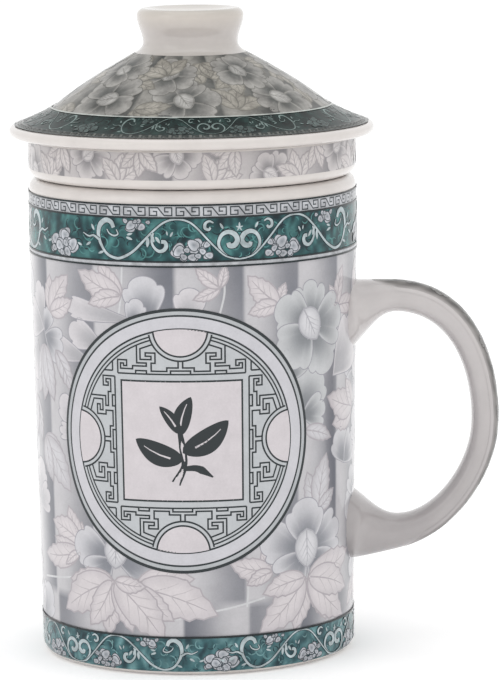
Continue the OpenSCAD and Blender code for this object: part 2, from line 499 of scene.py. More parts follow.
def turned(name, section, body, node, material):
    """A piece spun from its section, (radius, height) in millimetres, that stands for a node."""
    deselect_all()
    first_r, first_z = section[0]
    bpy.ops.mesh.primitive_plane_add(size=MM, location=(first_r * MM, 0, first_z * MM))
    piece = bpy.context.object
    piece.name = name
    bpy.ops.object.transform_apply(location=True)
    bpy.ops.object.mode_set(mode="EDIT")
    bpy.ops.mesh.select_all(action="SELECT")
    bpy.ops.mesh.merge(type="CENTER")
    for (r0, z0), (r1, z1) in zip(section, section[1:]):
        step = ((r1 - r0) * MM, 0, (z1 - z0) * MM)
        bpy.ops.mesh.extrude_vertices_move(TRANSFORM_OT_translate={"value": step})
    bpy.ops.mesh.select_all(action="SELECT")
    bpy.ops.mesh.spin(steps=SPIN_STEPS, angle=math.tau, center=(0, 0, 0), axis=(0, 0, 1))
    bpy.ops.object.mode_set(mode="OBJECT")
    smoothed(piece, TURNED_SMOOTH)
    stands_for(piece, body, node, material)


def between_rings(n, count, closed=True):
    """The faces between rings of n points each, one ring after another."""
    i = np.arange(n if closed else n - 1)
    j = (i + 1) % n
    faces = np.column_stack([i, j, j + n, i + n])
    return np.vstack([faces + k * n for k in range(count - 1)])


def eased(share):
    """A share held between 0 and 1 that leaves and reaches them gently."""
    share = np.clip(share, 0, 1)
    return share * share * (3 - 2 * share)


class Drawing:
    """Print on a surface: filled shapes and strokes, each a hair above what it covers."""

    def __init__(self, surface, lift, limits=None):
        self.surface = surface
        self.base = lift
        self.limits = limits
        self.follow = False
        self.points, self.normals, self.tints, self.quads, self.triangles = [], [], [], [], []
        self.count = 0
        # How many shapes lie over one another in each square of the surface
        self.levels = np.zeros(CELLS * CELLS)

    def ground(self):
        """What is drawn from now on lies over all that is drawn already."""
        self.base += (self.levels.max() + 1) * LAYER
        self.levels[:] = 0

    def add(self, places, normals, tint, quads, triangles=()):
        """Takes up the points and faces of one shape, of one colour or of a colour for each point."""
        self.points.append(places)
        self.normals.append(normals)
        self.tints.append(np.broadcast_to(np.asarray(tint, float)[..., :3], (len(places), 3)))
        self.quads.append(np.array(quads, int).reshape(-1, 4) + self.count)
        self.triangles.append(np.array(triangles, int).reshape(-1, 3) + self.count)
        self.count += len(places)

    def lay(self, xy, at, tint, quads, triangles=(), cover=False):
        """Puts flat points on the surface, cut off at the drawing's limits."""
        a, u = self.surface.flat(xy, at, self.follow)
        lift = self.lifts(a, u, cover)
        if self.limits:
            (a_low, a_high), (u_low, u_high) = self.limits
            a, u = np.clip(a, a_low, a_high), np.clip(u, u_low, u_high)
        self.add(*self.surface.wrap(a, u, lift), tint, quads, triangles)

    def lifts(self, a, u, cover):
        """Lifts that clear what lies near each point; a covering shape is a layer of its own."""
        columns, rows = self.surface.cells(a, u)
        rows = np.clip(rows, 1, CELLS - 2)
        near = [(columns + i) % CELLS * CELLS + rows + j for i in (-1, 0, 1) for j in (-1, 0, 1)]
        level = np.max([self.levels[squares] for squares in near], axis=0) + cover
        for squares in near:
            np.maximum.at(self.levels, squares, level)
        return self.base + (level + (0 if cover else 0.5)) * LAYER

    def stroke(self, line, width, at, tint, closed=False, step=STROKE_STEP, cover=False):
        """A line of a width, or of widths from end to end, with mitred corners."""
        line = finer(np.asarray(line, float), step, closed)
        ahead = np.roll(line, -1, 0) - line
        if not closed:
            ahead[-1] = ahead[-2]
        back = np.roll(ahead, 1, 0)
        if not closed:
            back[0] = ahead[0]
        a, b = (unit(np.column_stack([-v[:, 1], v[:, 0]])) for v in (ahead, back))
        side = a + b
        side /= np.maximum(np.linalg.norm(side, axis=1), 1e-6)[:, None]
        # A sharp corner reaches out no further than the stroke is wide
        side /= np.maximum((side * a).sum(1), 0.5)[:, None]
        widths = np.atleast_1d(width)
        along = np.interp(np.linspace(0, 1, len(line)), np.linspace(0, 1, len(widths)), widths)
        half = side * along[:, None] / 2
        n = len(line)
        i = np.arange(n if closed else n - 1)
        j = (i + 1) % n
        quads = np.column_stack([i, i + n, j + n, j])
        self.lay(np.vstack([line + half, line - half]), at, tint, quads, cover=cover)

    def outline(self, line, width, at, tint):
        """A stroke all round a shape."""
        self.stroke(line, width, at, tint, closed=True)

    def fill(self, edge, at, tint, heart=None, inner=None, hole=0.0, ring=0.9, fade=(0.2, 0.9)):
        """A filled shape that its heart sees all of, in rings of faces.

        fade is where, on the way out, the inner tint begins and ends to turn into the outer one,
        and hole is the share that stays open round the heart.
        """
        edge = finer(np.asarray(edge, float), FILL_STEP, closed=True)
        if area(edge) < 0:
            edge = edge[::-1]
        n = len(edge)
        middle = np.asarray(edge.mean(0) if heart is None else heart, float)
        reach = np.linalg.norm(edge - middle, axis=1).max() * (1 - hole)
        shares = np.linspace(1, hole, max(2, math.ceil(reach / ring)) + 1)
        counts = [n] * len(shares)
        triangles = ()
        if not hole:
            # The last ring is the heart itself, and triangles close the shape round it
            counts[-1] = 1
            i = np.arange(n)
            last = (len(shares) - 2) * n
            triangles = np.column_stack([i + last, (i + 1) % n + last, np.full(n, last + n)])
        xy = np.vstack([middle + (edge - middle)[:c] * s for s, c in zip(shares, counts)])
        outer = np.asarray(tint, float)[:3]
        inner = outer if inner is None else np.asarray(inner, float)[:3]
        blend = eased((shares - fade[0]) / (fade[1] - fade[0]))
        tints = np.repeat(inner + (outer - inner) * blend[:, None], counts, axis=0)
        self.lay(xy, at, tints, between_rings(n, counts.count(n)), triangles, cover=True)

    def band(self, low, high, tint, steps=300, rows=1):
        """A strip all the way round between two heights; tint may be a function of azimuth and height."""
        angles = np.tile(np.arange(steps) * math.tau / steps, rows + 1)
        ups = np.repeat(np.linspace(low, high, rows + 1), steps)
        places, normals = self.surface.wrap(angles, ups, self.base)
        tints = tint(angles, ups) if callable(tint) else tint
        self.add(places, normals, tints, between_rings(steps, rows + 1))

    def piece(self, name, body, slot, material):
        """The drawing as a piece, shaded with the normals of what it lies on."""
        places, normals, tints = (np.vstack(part) for part in (self.points, self.normals, self.tints))
        faces = []
        for group in (np.vstack(self.quads), np.vstack(self.triangles)):
            corners = places[group]
            across = np.cross(corners[:, 1] - corners[:, 0], corners[:, 2] - corners[:, 0])
            if group.shape[1] == 4:
                across += np.cross(corners[:, 2] - corners[:, 0], corners[:, 3] - corners[:, 0])
            size = np.linalg.norm(across, axis=1)
            inward = (across * normals[group[:, 0]]).sum(1) < 0
            group[inward] = group[inward, ::-1]
            faces += group[size > LEAST_FACE].tolist()
        mesh = bpy.data.meshes.new(name)
        mesh.from_pydata(places.tolist(), [], faces)
        mesh.polygons.foreach_set("use_smooth", [True] * len(faces))
        layer = mesh.color_attributes.new("tint", "FLOAT_COLOR", "POINT")
        layer.data.foreach_set("color", np.column_stack([tints, np.ones(len(tints))]).ravel())
        mesh.normals_split_custom_set_from_vertices(normals.tolist())
        finished(linked(name, mesh), body, material)


def area(outline):
    """The area inside an outline, below 0 where it runs clockwise."""
    x, y = outline.T
    return (x * np.roll(y, -1) - y * np.roll(x, -1)).sum() / 2


def finer(line, step, closed):
    """The line with points added so that none are further apart than the step."""
    ends = np.vstack([line, line[:1]]) if closed else line
    points = [ends[0]]
    for a, b in zip(ends, ends[1:]):
        n = max(1, math.ceil(np.linalg.norm(b - a) / step))
        points += [a + (b - a) * i / n for i in range(1, n + 1)]
    return np.array(points[:-1] if closed else points)


def flowing(points):
    """A rounded line through the points."""
    p = np.asarray(points, float)
    p = np.vstack([2 * p[0] - p[1], p, 2 * p[-1] - p[-2]])
    line = []
    for a, b, c, d in zip(p, p[1:], p[2:], p[3:]):
        for k in range(FLOW_STEPS):
            t = k / FLOW_STEPS
            line.append(0.5 * (
                2 * b
                + (c - a) * t
                + (2 * a - 5 * b + 4 * c - d) * t * t
                + (3 * b - a - 3 * c + d) * t ** 3
            ))
    line.append(p[-2])
    return np.array(line)


def turn(xy, degrees):
    """Flat points turned about the origin."""
    c, s = math.cos(math.radians(degrees)), math.sin(math.radians(degrees))
    return np.asarray(xy, float) @ np.array([[c, s], [-s, c]])


def oval(w, h, lean=0.0, bumps=0, depth=0.0, steps=180):
    """An oval outline, with bumps round it where asked."""
    t = np.arange(steps) * math.tau / steps
    r = 1 + depth * np.cos(bumps * t)
    return turn(np.column_stack([w / 2 * r * np.cos(t), h / 2 * r * np.sin(t)]), lean)


# ---------------------------------------------------------------- where the print lies

# Heights on the mug, from its foot up
FOOT_BAND_Z = 1.1
BORDER_LOW_Z = 9.05
COIN_Z = 54.1
FIELD_TOP_Z = 93.7
BAND_LOW_Z = 94.8
KEY_LOW_Z = 104.67
KEY_TOP_Z = 107.5

# Height of the lower edge of the print on the infuser's band
COLLAR_PRINT_Z = 113.0

# Lengths up the lid from its lip
BRIM_LINE = 0.3
BRIM_KEY = 2.0
BRIM_BAND = 9.4

# How far the first layer of a drawing lies off the glaze below it
GROUND_LIFT = 0.02
FLOWER_LIFT = 0.026
STRIP_LIFT = 0.03
BORDER_LIFT = 0.11

# The borders' ends meet over the handle, and a drawing with these limits is cut off only there
SEAM = (math.radians(-270), math.radians(90))
ALL_ROUND = (SEAM, (0, 200))
# Limits that let every azimuth through, for print that is cut off only at its top and bottom
ANY_AZIMUTH = (-9, 9)


# ---------------------------------------------------------------- handle

# How full the bow is above and below its back, how the lower arm slopes, and how its roots flare
UPPER_FULL = 0.6
LOWER_FULL = 0.47
ARM_SLOPE = 0.16
UPPER_FLARE = 9.4
LOWER_FLARE = 6
SIDE_FLARE = 2.6
GLAZE_FILLET = 1.8
ROOT_DROP = 2.2

# The strap's section, where a power of 1 is an ellipse and less is squarer, its sides, and how
# often its edges are evened
STRAP_POWER = 0.86
STRAP_SIDES = 48
STRAP_PASSES = 8

# Print reaches this share of the way to the strap's sides, and slopes are measured over these steps
PRINT_REACH = 0.97
ANGLE_STEP = 0.01
ALONG_STEP = 0.1

ROOT_X = MUG_R + ROOT_LEN
BACK_X = MUG_R + HANDLE_REACH
# The handle's ends lie inside the mug's wall, which leans in towards the foot
BURIED_X = MUG_R - 0.85 * WALL


def bow_edge(upper_root, back_x, top_z, low_z, lower_root, slope=0.0):
    """One edge of the bow, between the first points of its upper root and the last of its lower one."""
    reach = back_x - ROOT_X
    return (
        curve(*upper_root, (ROOT_X, top_z))
        + curve(
            (ROOT_X, top_z),
            (ROOT_X + UPPER_FULL * reach, top_z),
            (back_x, HANDLE_BACK_Z + UPPER_FULL * (top_z - HANDLE_BACK_Z)),
            (back_x, HANDLE_BACK_Z),
        )[1:]
        + curve(
            (back_x, HANDLE_BACK_Z),
            (back_x, HANDLE_BACK_Z - LOWER_FULL * (HANDLE_BACK_Z - low_z)),
            (ROOT_X + LOWER_FULL * reach, low_z + slope * LOWER_FULL * reach),
            (ROOT_X, low_z),
        )[1:]
        + curve((ROOT_X, low_z), *lower_root)[1:]
    )


def handle_outside():
    bore = MUG_R - WALL
    drop_z = HANDLE_BOTTOM_Z - ROOT_DROP
    upper_root = ((bore, HANDLE_TOP_Z), (MUG_R, HANDLE_TOP_Z), (MUG_R, HANDLE_TOP_Z))
    lower_root = ((MUG_R, drop_z), (MUG_R, drop_z), (bore, drop_z))
    return bow_edge(upper_root, BACK_X, HANDLE_TOP_Z, HANDLE_BOTTOM_Z, lower_root, ARM_SLOPE)


def handle_inside():
    bore = MUG_R - WALL
    near_x = MUG_R + ROOT_LEN / 3
    wide_x = MUG_R + ROOT_LEN / 2
    top_z = HANDLE_TOP_Z - UPPER_ARM_T
    low_z = HANDLE_BOTTOM_Z + LOWER_ARM_T
    upper_root = (
        (bore, top_z - UPPER_FLARE - WALL / 2),
        (near_x, top_z - UPPER_FLARE / 2),
        (wide_x, top_z),
    )
    lower_root = (
        (wide_x, low_z),
        (near_x, low_z + LOWER_FLARE / 2),
        (bore, low_z + LOWER_FLARE + WALL / 2),
    )
    return bow_edge(upper_root, BACK_X - BACK_T, top_z, low_z, lower_root)


def evened(line):
    """The line with the jumps of its bending spread out; its ends stay."""
    line = np.array(line, float)
    for _ in range(STRAP_PASSES):
        line[1:-1] = (line[:-2] + 2 * line[1:-1] + line[2:]) / 4
    return line


class Strap:
    """The handle's bow: across its width and along its outer edge, in millimetres."""

    def __init__(self):
        self.outer = evened(handle_outside())
        self.inner = evened(handle_inside())
        steps = np.linalg.norm(np.diff(self.outer, axis=0), axis=1)
        self.along = np.concatenate([[0], np.cumsum(steps)])

    def section(self, along):
        """Middle, half thickness towards the outer edge, and half width of the strap."""
        outer, inner = (
            np.stack([np.interp(along, self.along, edge[:, k]) for k in (0, 1)], axis=-1)
            for edge in (self.outer, self.inner)
        )
        middle = (outer + inner) / 2
        opened = np.maximum(0, 1 - np.maximum(0, middle[..., 0] - MUG_R) / ROOT_LEN)
        side = HANDLE_W / 2 + SIDE_FLARE * opened ** 2 + GLAZE_FILLET * opened ** 8
        return middle, (outer - inner) / 2, side

    def point(self, along, angle):
        """A place on the strap, in millimetres, at an angle round its section."""
        middle, half, side = self.section(along)
        c, s = np.cos(angle), np.sin(angle)
        out = np.sign(c) * np.abs(c) ** STRAP_POWER
        wide = np.sign(s) * np.abs(s) ** STRAP_POWER
        place = middle + half * out[..., None]
        return np.stack([place[..., 0], side * wide, place[..., 1]], axis=-1)

    def cells(self, across, along):
        """The squares of the strap that points lie in."""
        return (across / CELL).astype(int) + CELLS // 2, (along / CELL).astype(int)

    def flat(self, xy, at, follow):
        """Flat points laid round the point at; the strap is unrolled as a straight one."""
        return xy[:, 0] + at[0], xy[:, 1] + at[1]

    def wrap(self, across, along, lift):
        """Places in metres, and outward normals, on the outer face of the strap."""
        _, half, side = self.section(along)
        wide = np.clip(across / side, -PRINT_REACH, PRINT_REACH)
        angle = np.sign(wide) * np.arcsin(np.abs(wide) ** (1 / STRAP_POWER))
        by_angle = self.point(along, angle + ANGLE_STEP) - self.point(along, angle - ANGLE_STEP)
        by_along = self.point(along + ALONG_STEP, angle) - self.point(along - ALONG_STEP, angle)
        normal = unit(np.cross(by_angle, by_along))
        facing = normal[:, 0] * half[:, 0] + normal[:, 2] * half[:, 1]
        normal *= np.where(facing < 0, -1, 1)[:, None]
        return (self.point(along, angle) + (lift * normal.T).T) * MM, normal


HANDLE_SURFACE = Strap()
WALL_SURFACE = Turned(mug_outside())
LID_SURFACE = Turned(lid_top())
COLLAR_SURFACE = Turned(collar_outside())


def handle():
    """The bow, lofted through the same rings as its solid but rounder."""
    angles = np.arange(STRAP_SIDES) * math.tau / STRAP_SIDES
    rings = [HANDLE_SURFACE.point(np.full(STRAP_SIDES, u), angles) for u in HANDLE_SURFACE.along]
    points = np.vstack(rings)
    points[:, 0] = np.maximum(points[:, 0], BURIED_X)
    first_end = tuple(range(STRAP_SIDES))
    last_end = tuple(range(len(points) - STRAP_SIDES, len(points)))
    faces = between_rings(STRAP_SIDES, len(rings)).tolist() + [first_end[::-1], last_end]
    mesh = bpy.data.meshes.new("handle_bow")
    mesh.from_pydata((points * MM).tolist(), [], faces)
    bow = linked("handle_bow", mesh)
    smoothed(bow, HANDLE_SMOOTH, slivers=True)
    stands_for(bow, "mug", "handle", HANDLE_SHADED_GLAZE)


# A face that looks no more than this many degrees sideways, seen from the axis, is a turned wall's
OFF_AXIS = 9


def wall_slopes(mesh):
    """How far each face looks outwards and up, and whether it belongs to a turned wall."""
    count = len(mesh.polygons)
    middles = np.empty(count * 3)
    normals = np.empty(count * 3)
    mesh.polygons.foreach_get("center", middles)
    mesh.polygons.foreach_get("normal", normals)
    middles = middles.reshape(-1, 3)[:, :2]
    normals = normals.reshape(-1, 3)
    outward = middles / np.maximum(np.linalg.norm(middles, axis=1), MM / 10)[:, None]
    slopes = np.stack(((normals[:, :2] * outward).sum(1), normals[:, 2]), 1)
    return slopes, np.linalg.norm(slopes, axis=1) > math.cos(math.radians(OFF_AXIS))


def shaded_round(mesh):
    """Level shading round the axis, however the faces of the turned walls are cut."""
    slopes, on_wall = wall_slopes(mesh)
    alike = math.cos(math.radians(INFUSER_SMOOTH))
    walls = [face for face in mesh.polygons if on_wall[face.index]]
    at_point = {}
    for face in walls:
        for point in face.vertices:
            at_point.setdefault(point, []).append(face.index)
    level = [corner.vector.copy() for corner in mesh.corner_normals]
    for face in walls:
        for loop in face.loop_indices:
            point = mesh.loops[loop].vertex_index
            place = mesh.vertices[point].co
            out = math.hypot(place.x, place.y)
            if out < MM:
                continue
            near = [i for i in at_point[point] if slopes[i] @ slopes[face.index] > alike]
            weights = [mesh.polygons[i].area for i in near]
            r, z = np.average(slopes[near], axis=0, weights=weights)
            level[loop] = Vector((place.x / out * r, place.y / out * r, z)).normalized()
    mesh.normals_split_custom_set(level)


def infuser():
    """The infuser's own solid, merged and shaded smooth."""
    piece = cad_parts["infuser"].copy()
    piece.data = piece.data.copy()
    piece.name = "infuser_smooth"
    bpy.context.collection.objects.link(piece)
    smoothed(piece, INFUSER_SMOOTH, outwards=False)
    shaded_round(piece.data)
    stands_for(piece, "infuser", "infuser", PLAIN)


# ---------------------------------------------------------------- prints: flowers and leaves

INK = rgb(30, 38, 41)

# A tone is a colour for a shape's light part, its shaded part and its lines
PETAL_EDGE = rgb(195, 194, 198)
PETAL_BASE = rgb(126, 128, 135)
PETAL_LINE = rgb(150, 149, 156)
LEAF_WHITE = rgb(204, 198, 200)
LEAF_SHADE = rgb(184, 178, 182)
LEAF_LINE = rgb(158, 152, 157)
STEM = rgb(196, 196, 198)

# Teeth of a leaf's outer half: how far along each point is, and how much it stands out or in
TEETH = ((0.54, 1.05), (0.6, 0.9), (0.71, 1.06), (0.77, 0.82), (0.86, 0.94), (0.91, 0.74), (1, 1))

# Side veins of a leaf: how far along each pair starts, and its length as a share of the width
VEINS = ((0.22, 0.42), (0.42, 0.4), (0.6, 0.28))

# Widths of drawn lines, or from one end to the other
PETAL_EDGE_W = 0.2
LEAF_EDGE_W = 0.34
RIB_W = (0.42, 0.16)
VEIN_W = (0.26, 0.1)
STEM_W = 0.45


def mixed(a, b, share):
    return tuple(x + (y - x) * share for x, y in zip(a, b))


FLOWER_TONE = (PETAL_EDGE, PETAL_BASE, PETAL_LINE)
PALE_TONE = (mixed(PETAL_EDGE, LEAF_WHITE, 0.5), rgb(162, 161, 165), PETAL_LINE)
COOL_TONE = (rgb(189, 190, 192), rgb(125, 128, 132), PETAL_LINE)
LEAF_TONE = (LEAF_WHITE, LEAF_SHADE, LEAF_LINE)
LEAF_COOL = (mixed(LEAF_WHITE, PETAL_EDGE, 0.9), mixed(LEAF_SHADE, PETAL_BASE, 0.3), LEAF_LINE)


def petal(length, spread, bumps):
    """A petal that opens to the right from the origin; its bumps take up to 17 percent off its edge."""
    t = np.linspace(-1, 1, 40)
    edge = 0.83 + 0.17 * np.abs(np.cos(bumps * math.pi * t / 2)) ** 0.5
    r = length * (1 - np.abs(t) ** 4.2) ** 0.5 * edge
    a = math.radians(spread) * t
    return np.column_stack([r * np.cos(a), r * np.sin(a)])[:-1]


def blade(length, width, bend=0.0, steps=15, toothed=False):
    """A pointed leaf from the origin to the right, its outer half toothed where asked."""
    t = np.linspace(0, 1, steps) ** 0.9
    swell = 1.0
    if toothed:
        tooth_t, tooth_swell = np.array(TEETH).T
        t = np.append(np.linspace(0, 0.5, 8), tooth_t)
        swell = np.append(np.ones(8), tooth_swell)
    # The curve of a half blade reaches about 0.37 where it is widest
    half = width / 2 * swell * t ** 0.65 * (1 - t) ** 0.8 / 0.372
    middle = bend * np.sin(math.pi * t)
    top = np.column_stack([length * t, middle + half])
    low = np.column_stack([length * t, middle - half])
    return np.vstack([low, top[-2:0:-1]])


def direction(base, tip):
    """The way from base to tip, in degrees."""
    return math.degrees(math.atan2(tip[1] - base[1], tip[0] - base[0]))


def fan(reach, lean, spreads, middle=(0, 0)):
    """Tips of leaves round a middle, each turned a little from where the fan leans."""
    return [turn([(reach, 0)], lean + a)[0] + middle for a in spreads]


def draw_petal(draw, at, base, length, lean, spread, tone, bumps):
    """One broad petal, light at its edge and shaded towards its base."""
    light, shaded, line = tone
    edge = turn(petal(length, spread, bumps), lean) + base
    heart = turn([(length * 0.1, 0)], lean)[0] + base
    draw.fill(edge, at, light, heart, shaded, fade=(0.22, 0.95))
    draw.outline(edge, PETAL_EDGE_W, at, line)


def draw_blade(draw, at, base, tip, width, tone, bend=0.0, toothed=False):
    """One leaf blade with its outline, rib and side veins."""
    white, shade, line = tone
    length = np.linalg.norm(np.subtract(tip, base))
    lean = direction(base, tip)

    def placed(points):
        return turn(points, lean) + base

    edge = placed(blade(length, width, bend, toothed=toothed))
    heart = placed([(length * 0.42, bend)])[0]
    draw.fill(edge, at, mixed(white, shade, 0.6), heart, white, fade=(0.5, 1.0))
    draw.outline(edge, LEAF_EDGE_W, at, mixed(line, white, 0.2))
    t = np.linspace(0.04, 0.86, 6)
    rib = np.column_stack([length * t, bend * np.sin(math.pi * t)])
    draw.stroke(placed(rib), RIB_W, at, mixed(line, white, 0.25))
    for start, share in VEINS:
        x, y = length * start, bend * math.sin(math.pi * start)
        reach = width * share
        for side in (reach, -reach):
            vein = [(x, y), (x + reach * 0.75, y + side * 0.5), (x + reach * 1.25, y + side * 0.95)]
            draw.stroke(placed(vein), VEIN_W, at, mixed(line, white, 0.5))


def draw_spray(draw, at, base, tips, tone, fat=0.4):
    """A divided leaf: blades from one base to each tip, the middle one on top."""
    middle = (len(tips) - 1) / 2
    for k in sorted(range(len(tips)), key=lambda k: -abs(k - middle)):
        length = math.dist(base, tips[k])
        draw_blade(draw, at, base, tips[k], length * fat, tone, 0.04 * length * (-1) ** k, toothed=True)


def draw_bud(draw, at, middle, length, lean, tone):
    """The veined bud in the middle of a flower, its point at lean."""
    light, shaded, line = tone
    half = turn([(length / 2, 0)], lean)[0]
    bud_tone = (mixed(light, (1, 1, 1), 0.12), mixed(light, shaded, 0.5), line)
    draw_blade(draw, at, middle - half, middle + half, length * 0.8, bud_tone)


def draw_flower(draw, at, middle, size, lean, tone):
    """A full flower: five broad petals shaded to their bases round a veined bud."""
    middle = np.array(middle, float)
    step = 360 / 5
    # Every other petal first, so that the last two lie over them
    for k in (0, 2, 4, 1, 3):
        wobble = math.sin(7.3 * k + lean)
        length = size * (1 + 0.1 * wobble)
        petal_lean = lean + step * k + 6 * wobble
        draw_petal(draw, at, middle, length, petal_lean, step * 0.66, tone, 2 + (k + int(lean)) % 2)
    draw_bud(draw, at, middle, size * 0.66, lean - 75, tone)


# ---------------------------------------------------------------- prints: the field

BAR_LIGHT = rgb(188, 186, 189)
BAR_DARK = rgb(108, 110, 118)

# Edges of the bars across one half of the mug, from its middle, and the height below which they turn
BAR_EDGES = (-52.0, -37.5, -20.5, -0.5, 15.2, 29.2, 43.2, 55.5)
BARS_TURN_Z = 16.8

# Full flowers at the sides, which are seen edge on: place, size and lean
SIDE_FLOWERS = (
    (-57, 84, 9.5, 20),
    (-56, 50, 10, 70),
    (-57, 22, 9.5, 120),
    (56, 66, 10, 15),
    (57, 36, 10, 60),
)


def uneven(count):
    """The azimuths of edges spread round a surface, a little unevenly."""
    return [math.tau * (k + 0.2 * math.sin(5 * k)) / count for k in range(count + 1)]


def bars(draw, low, high, edges, light, dark, steps=360, rows=16, turned_below=0.0):
    """The ground of the print: upright bars, each light after its sharp edge and dark before the next.

    Below a height the shading runs the other way. It deepens and fades a little up the bar, and
    goes back to light over the last twentieth at each side.
    """
    light, dark = np.array(light)[:3], np.array(dark)[:3]

    def tint(angles, ups):
        spot = np.interp(angles, edges, np.arange(len(edges)))
        share = spot % 1
        side = np.where(ups < turned_below, 1 - share, share)
        shade = eased((side - 0.12) / 0.8) * (0.88 + 0.12 * np.sin(ups / 9 + 3 * spot))
        shade = shade * np.clip(np.minimum(share, 1 - share) / 0.05, 0, 1)
        return light + (dark - light) * shade[:, None]

    draw.band(low, high, tint, steps, rows)
    draw.ground()


def field_bars():
    """The bars of the mug's field, the same on both halves."""
    low, high = WALL_SURFACE.up_at(BORDER_LOW_Z), WALL_SURFACE.up_at(FIELD_TOP_Z)
    edges = sorted((x / MUG_R + math.pi * k) % math.tau for x in BAR_EDGES for k in (0, 1))
    edges = [edges[-1] - math.tau, *edges, edges[0] + math.tau]
    draw = Drawing(WALL_SURFACE, GROUND_LIFT)
    turn_up = WALL_SURFACE.up_at(BARS_TURN_Z)
    bars(draw, low, high, edges, BAR_LIGHT, BAR_DARK, steps=600, rows=40, turned_below=turn_up)
    draw.piece("field_bars", "mug", "mug_body", PRINT)


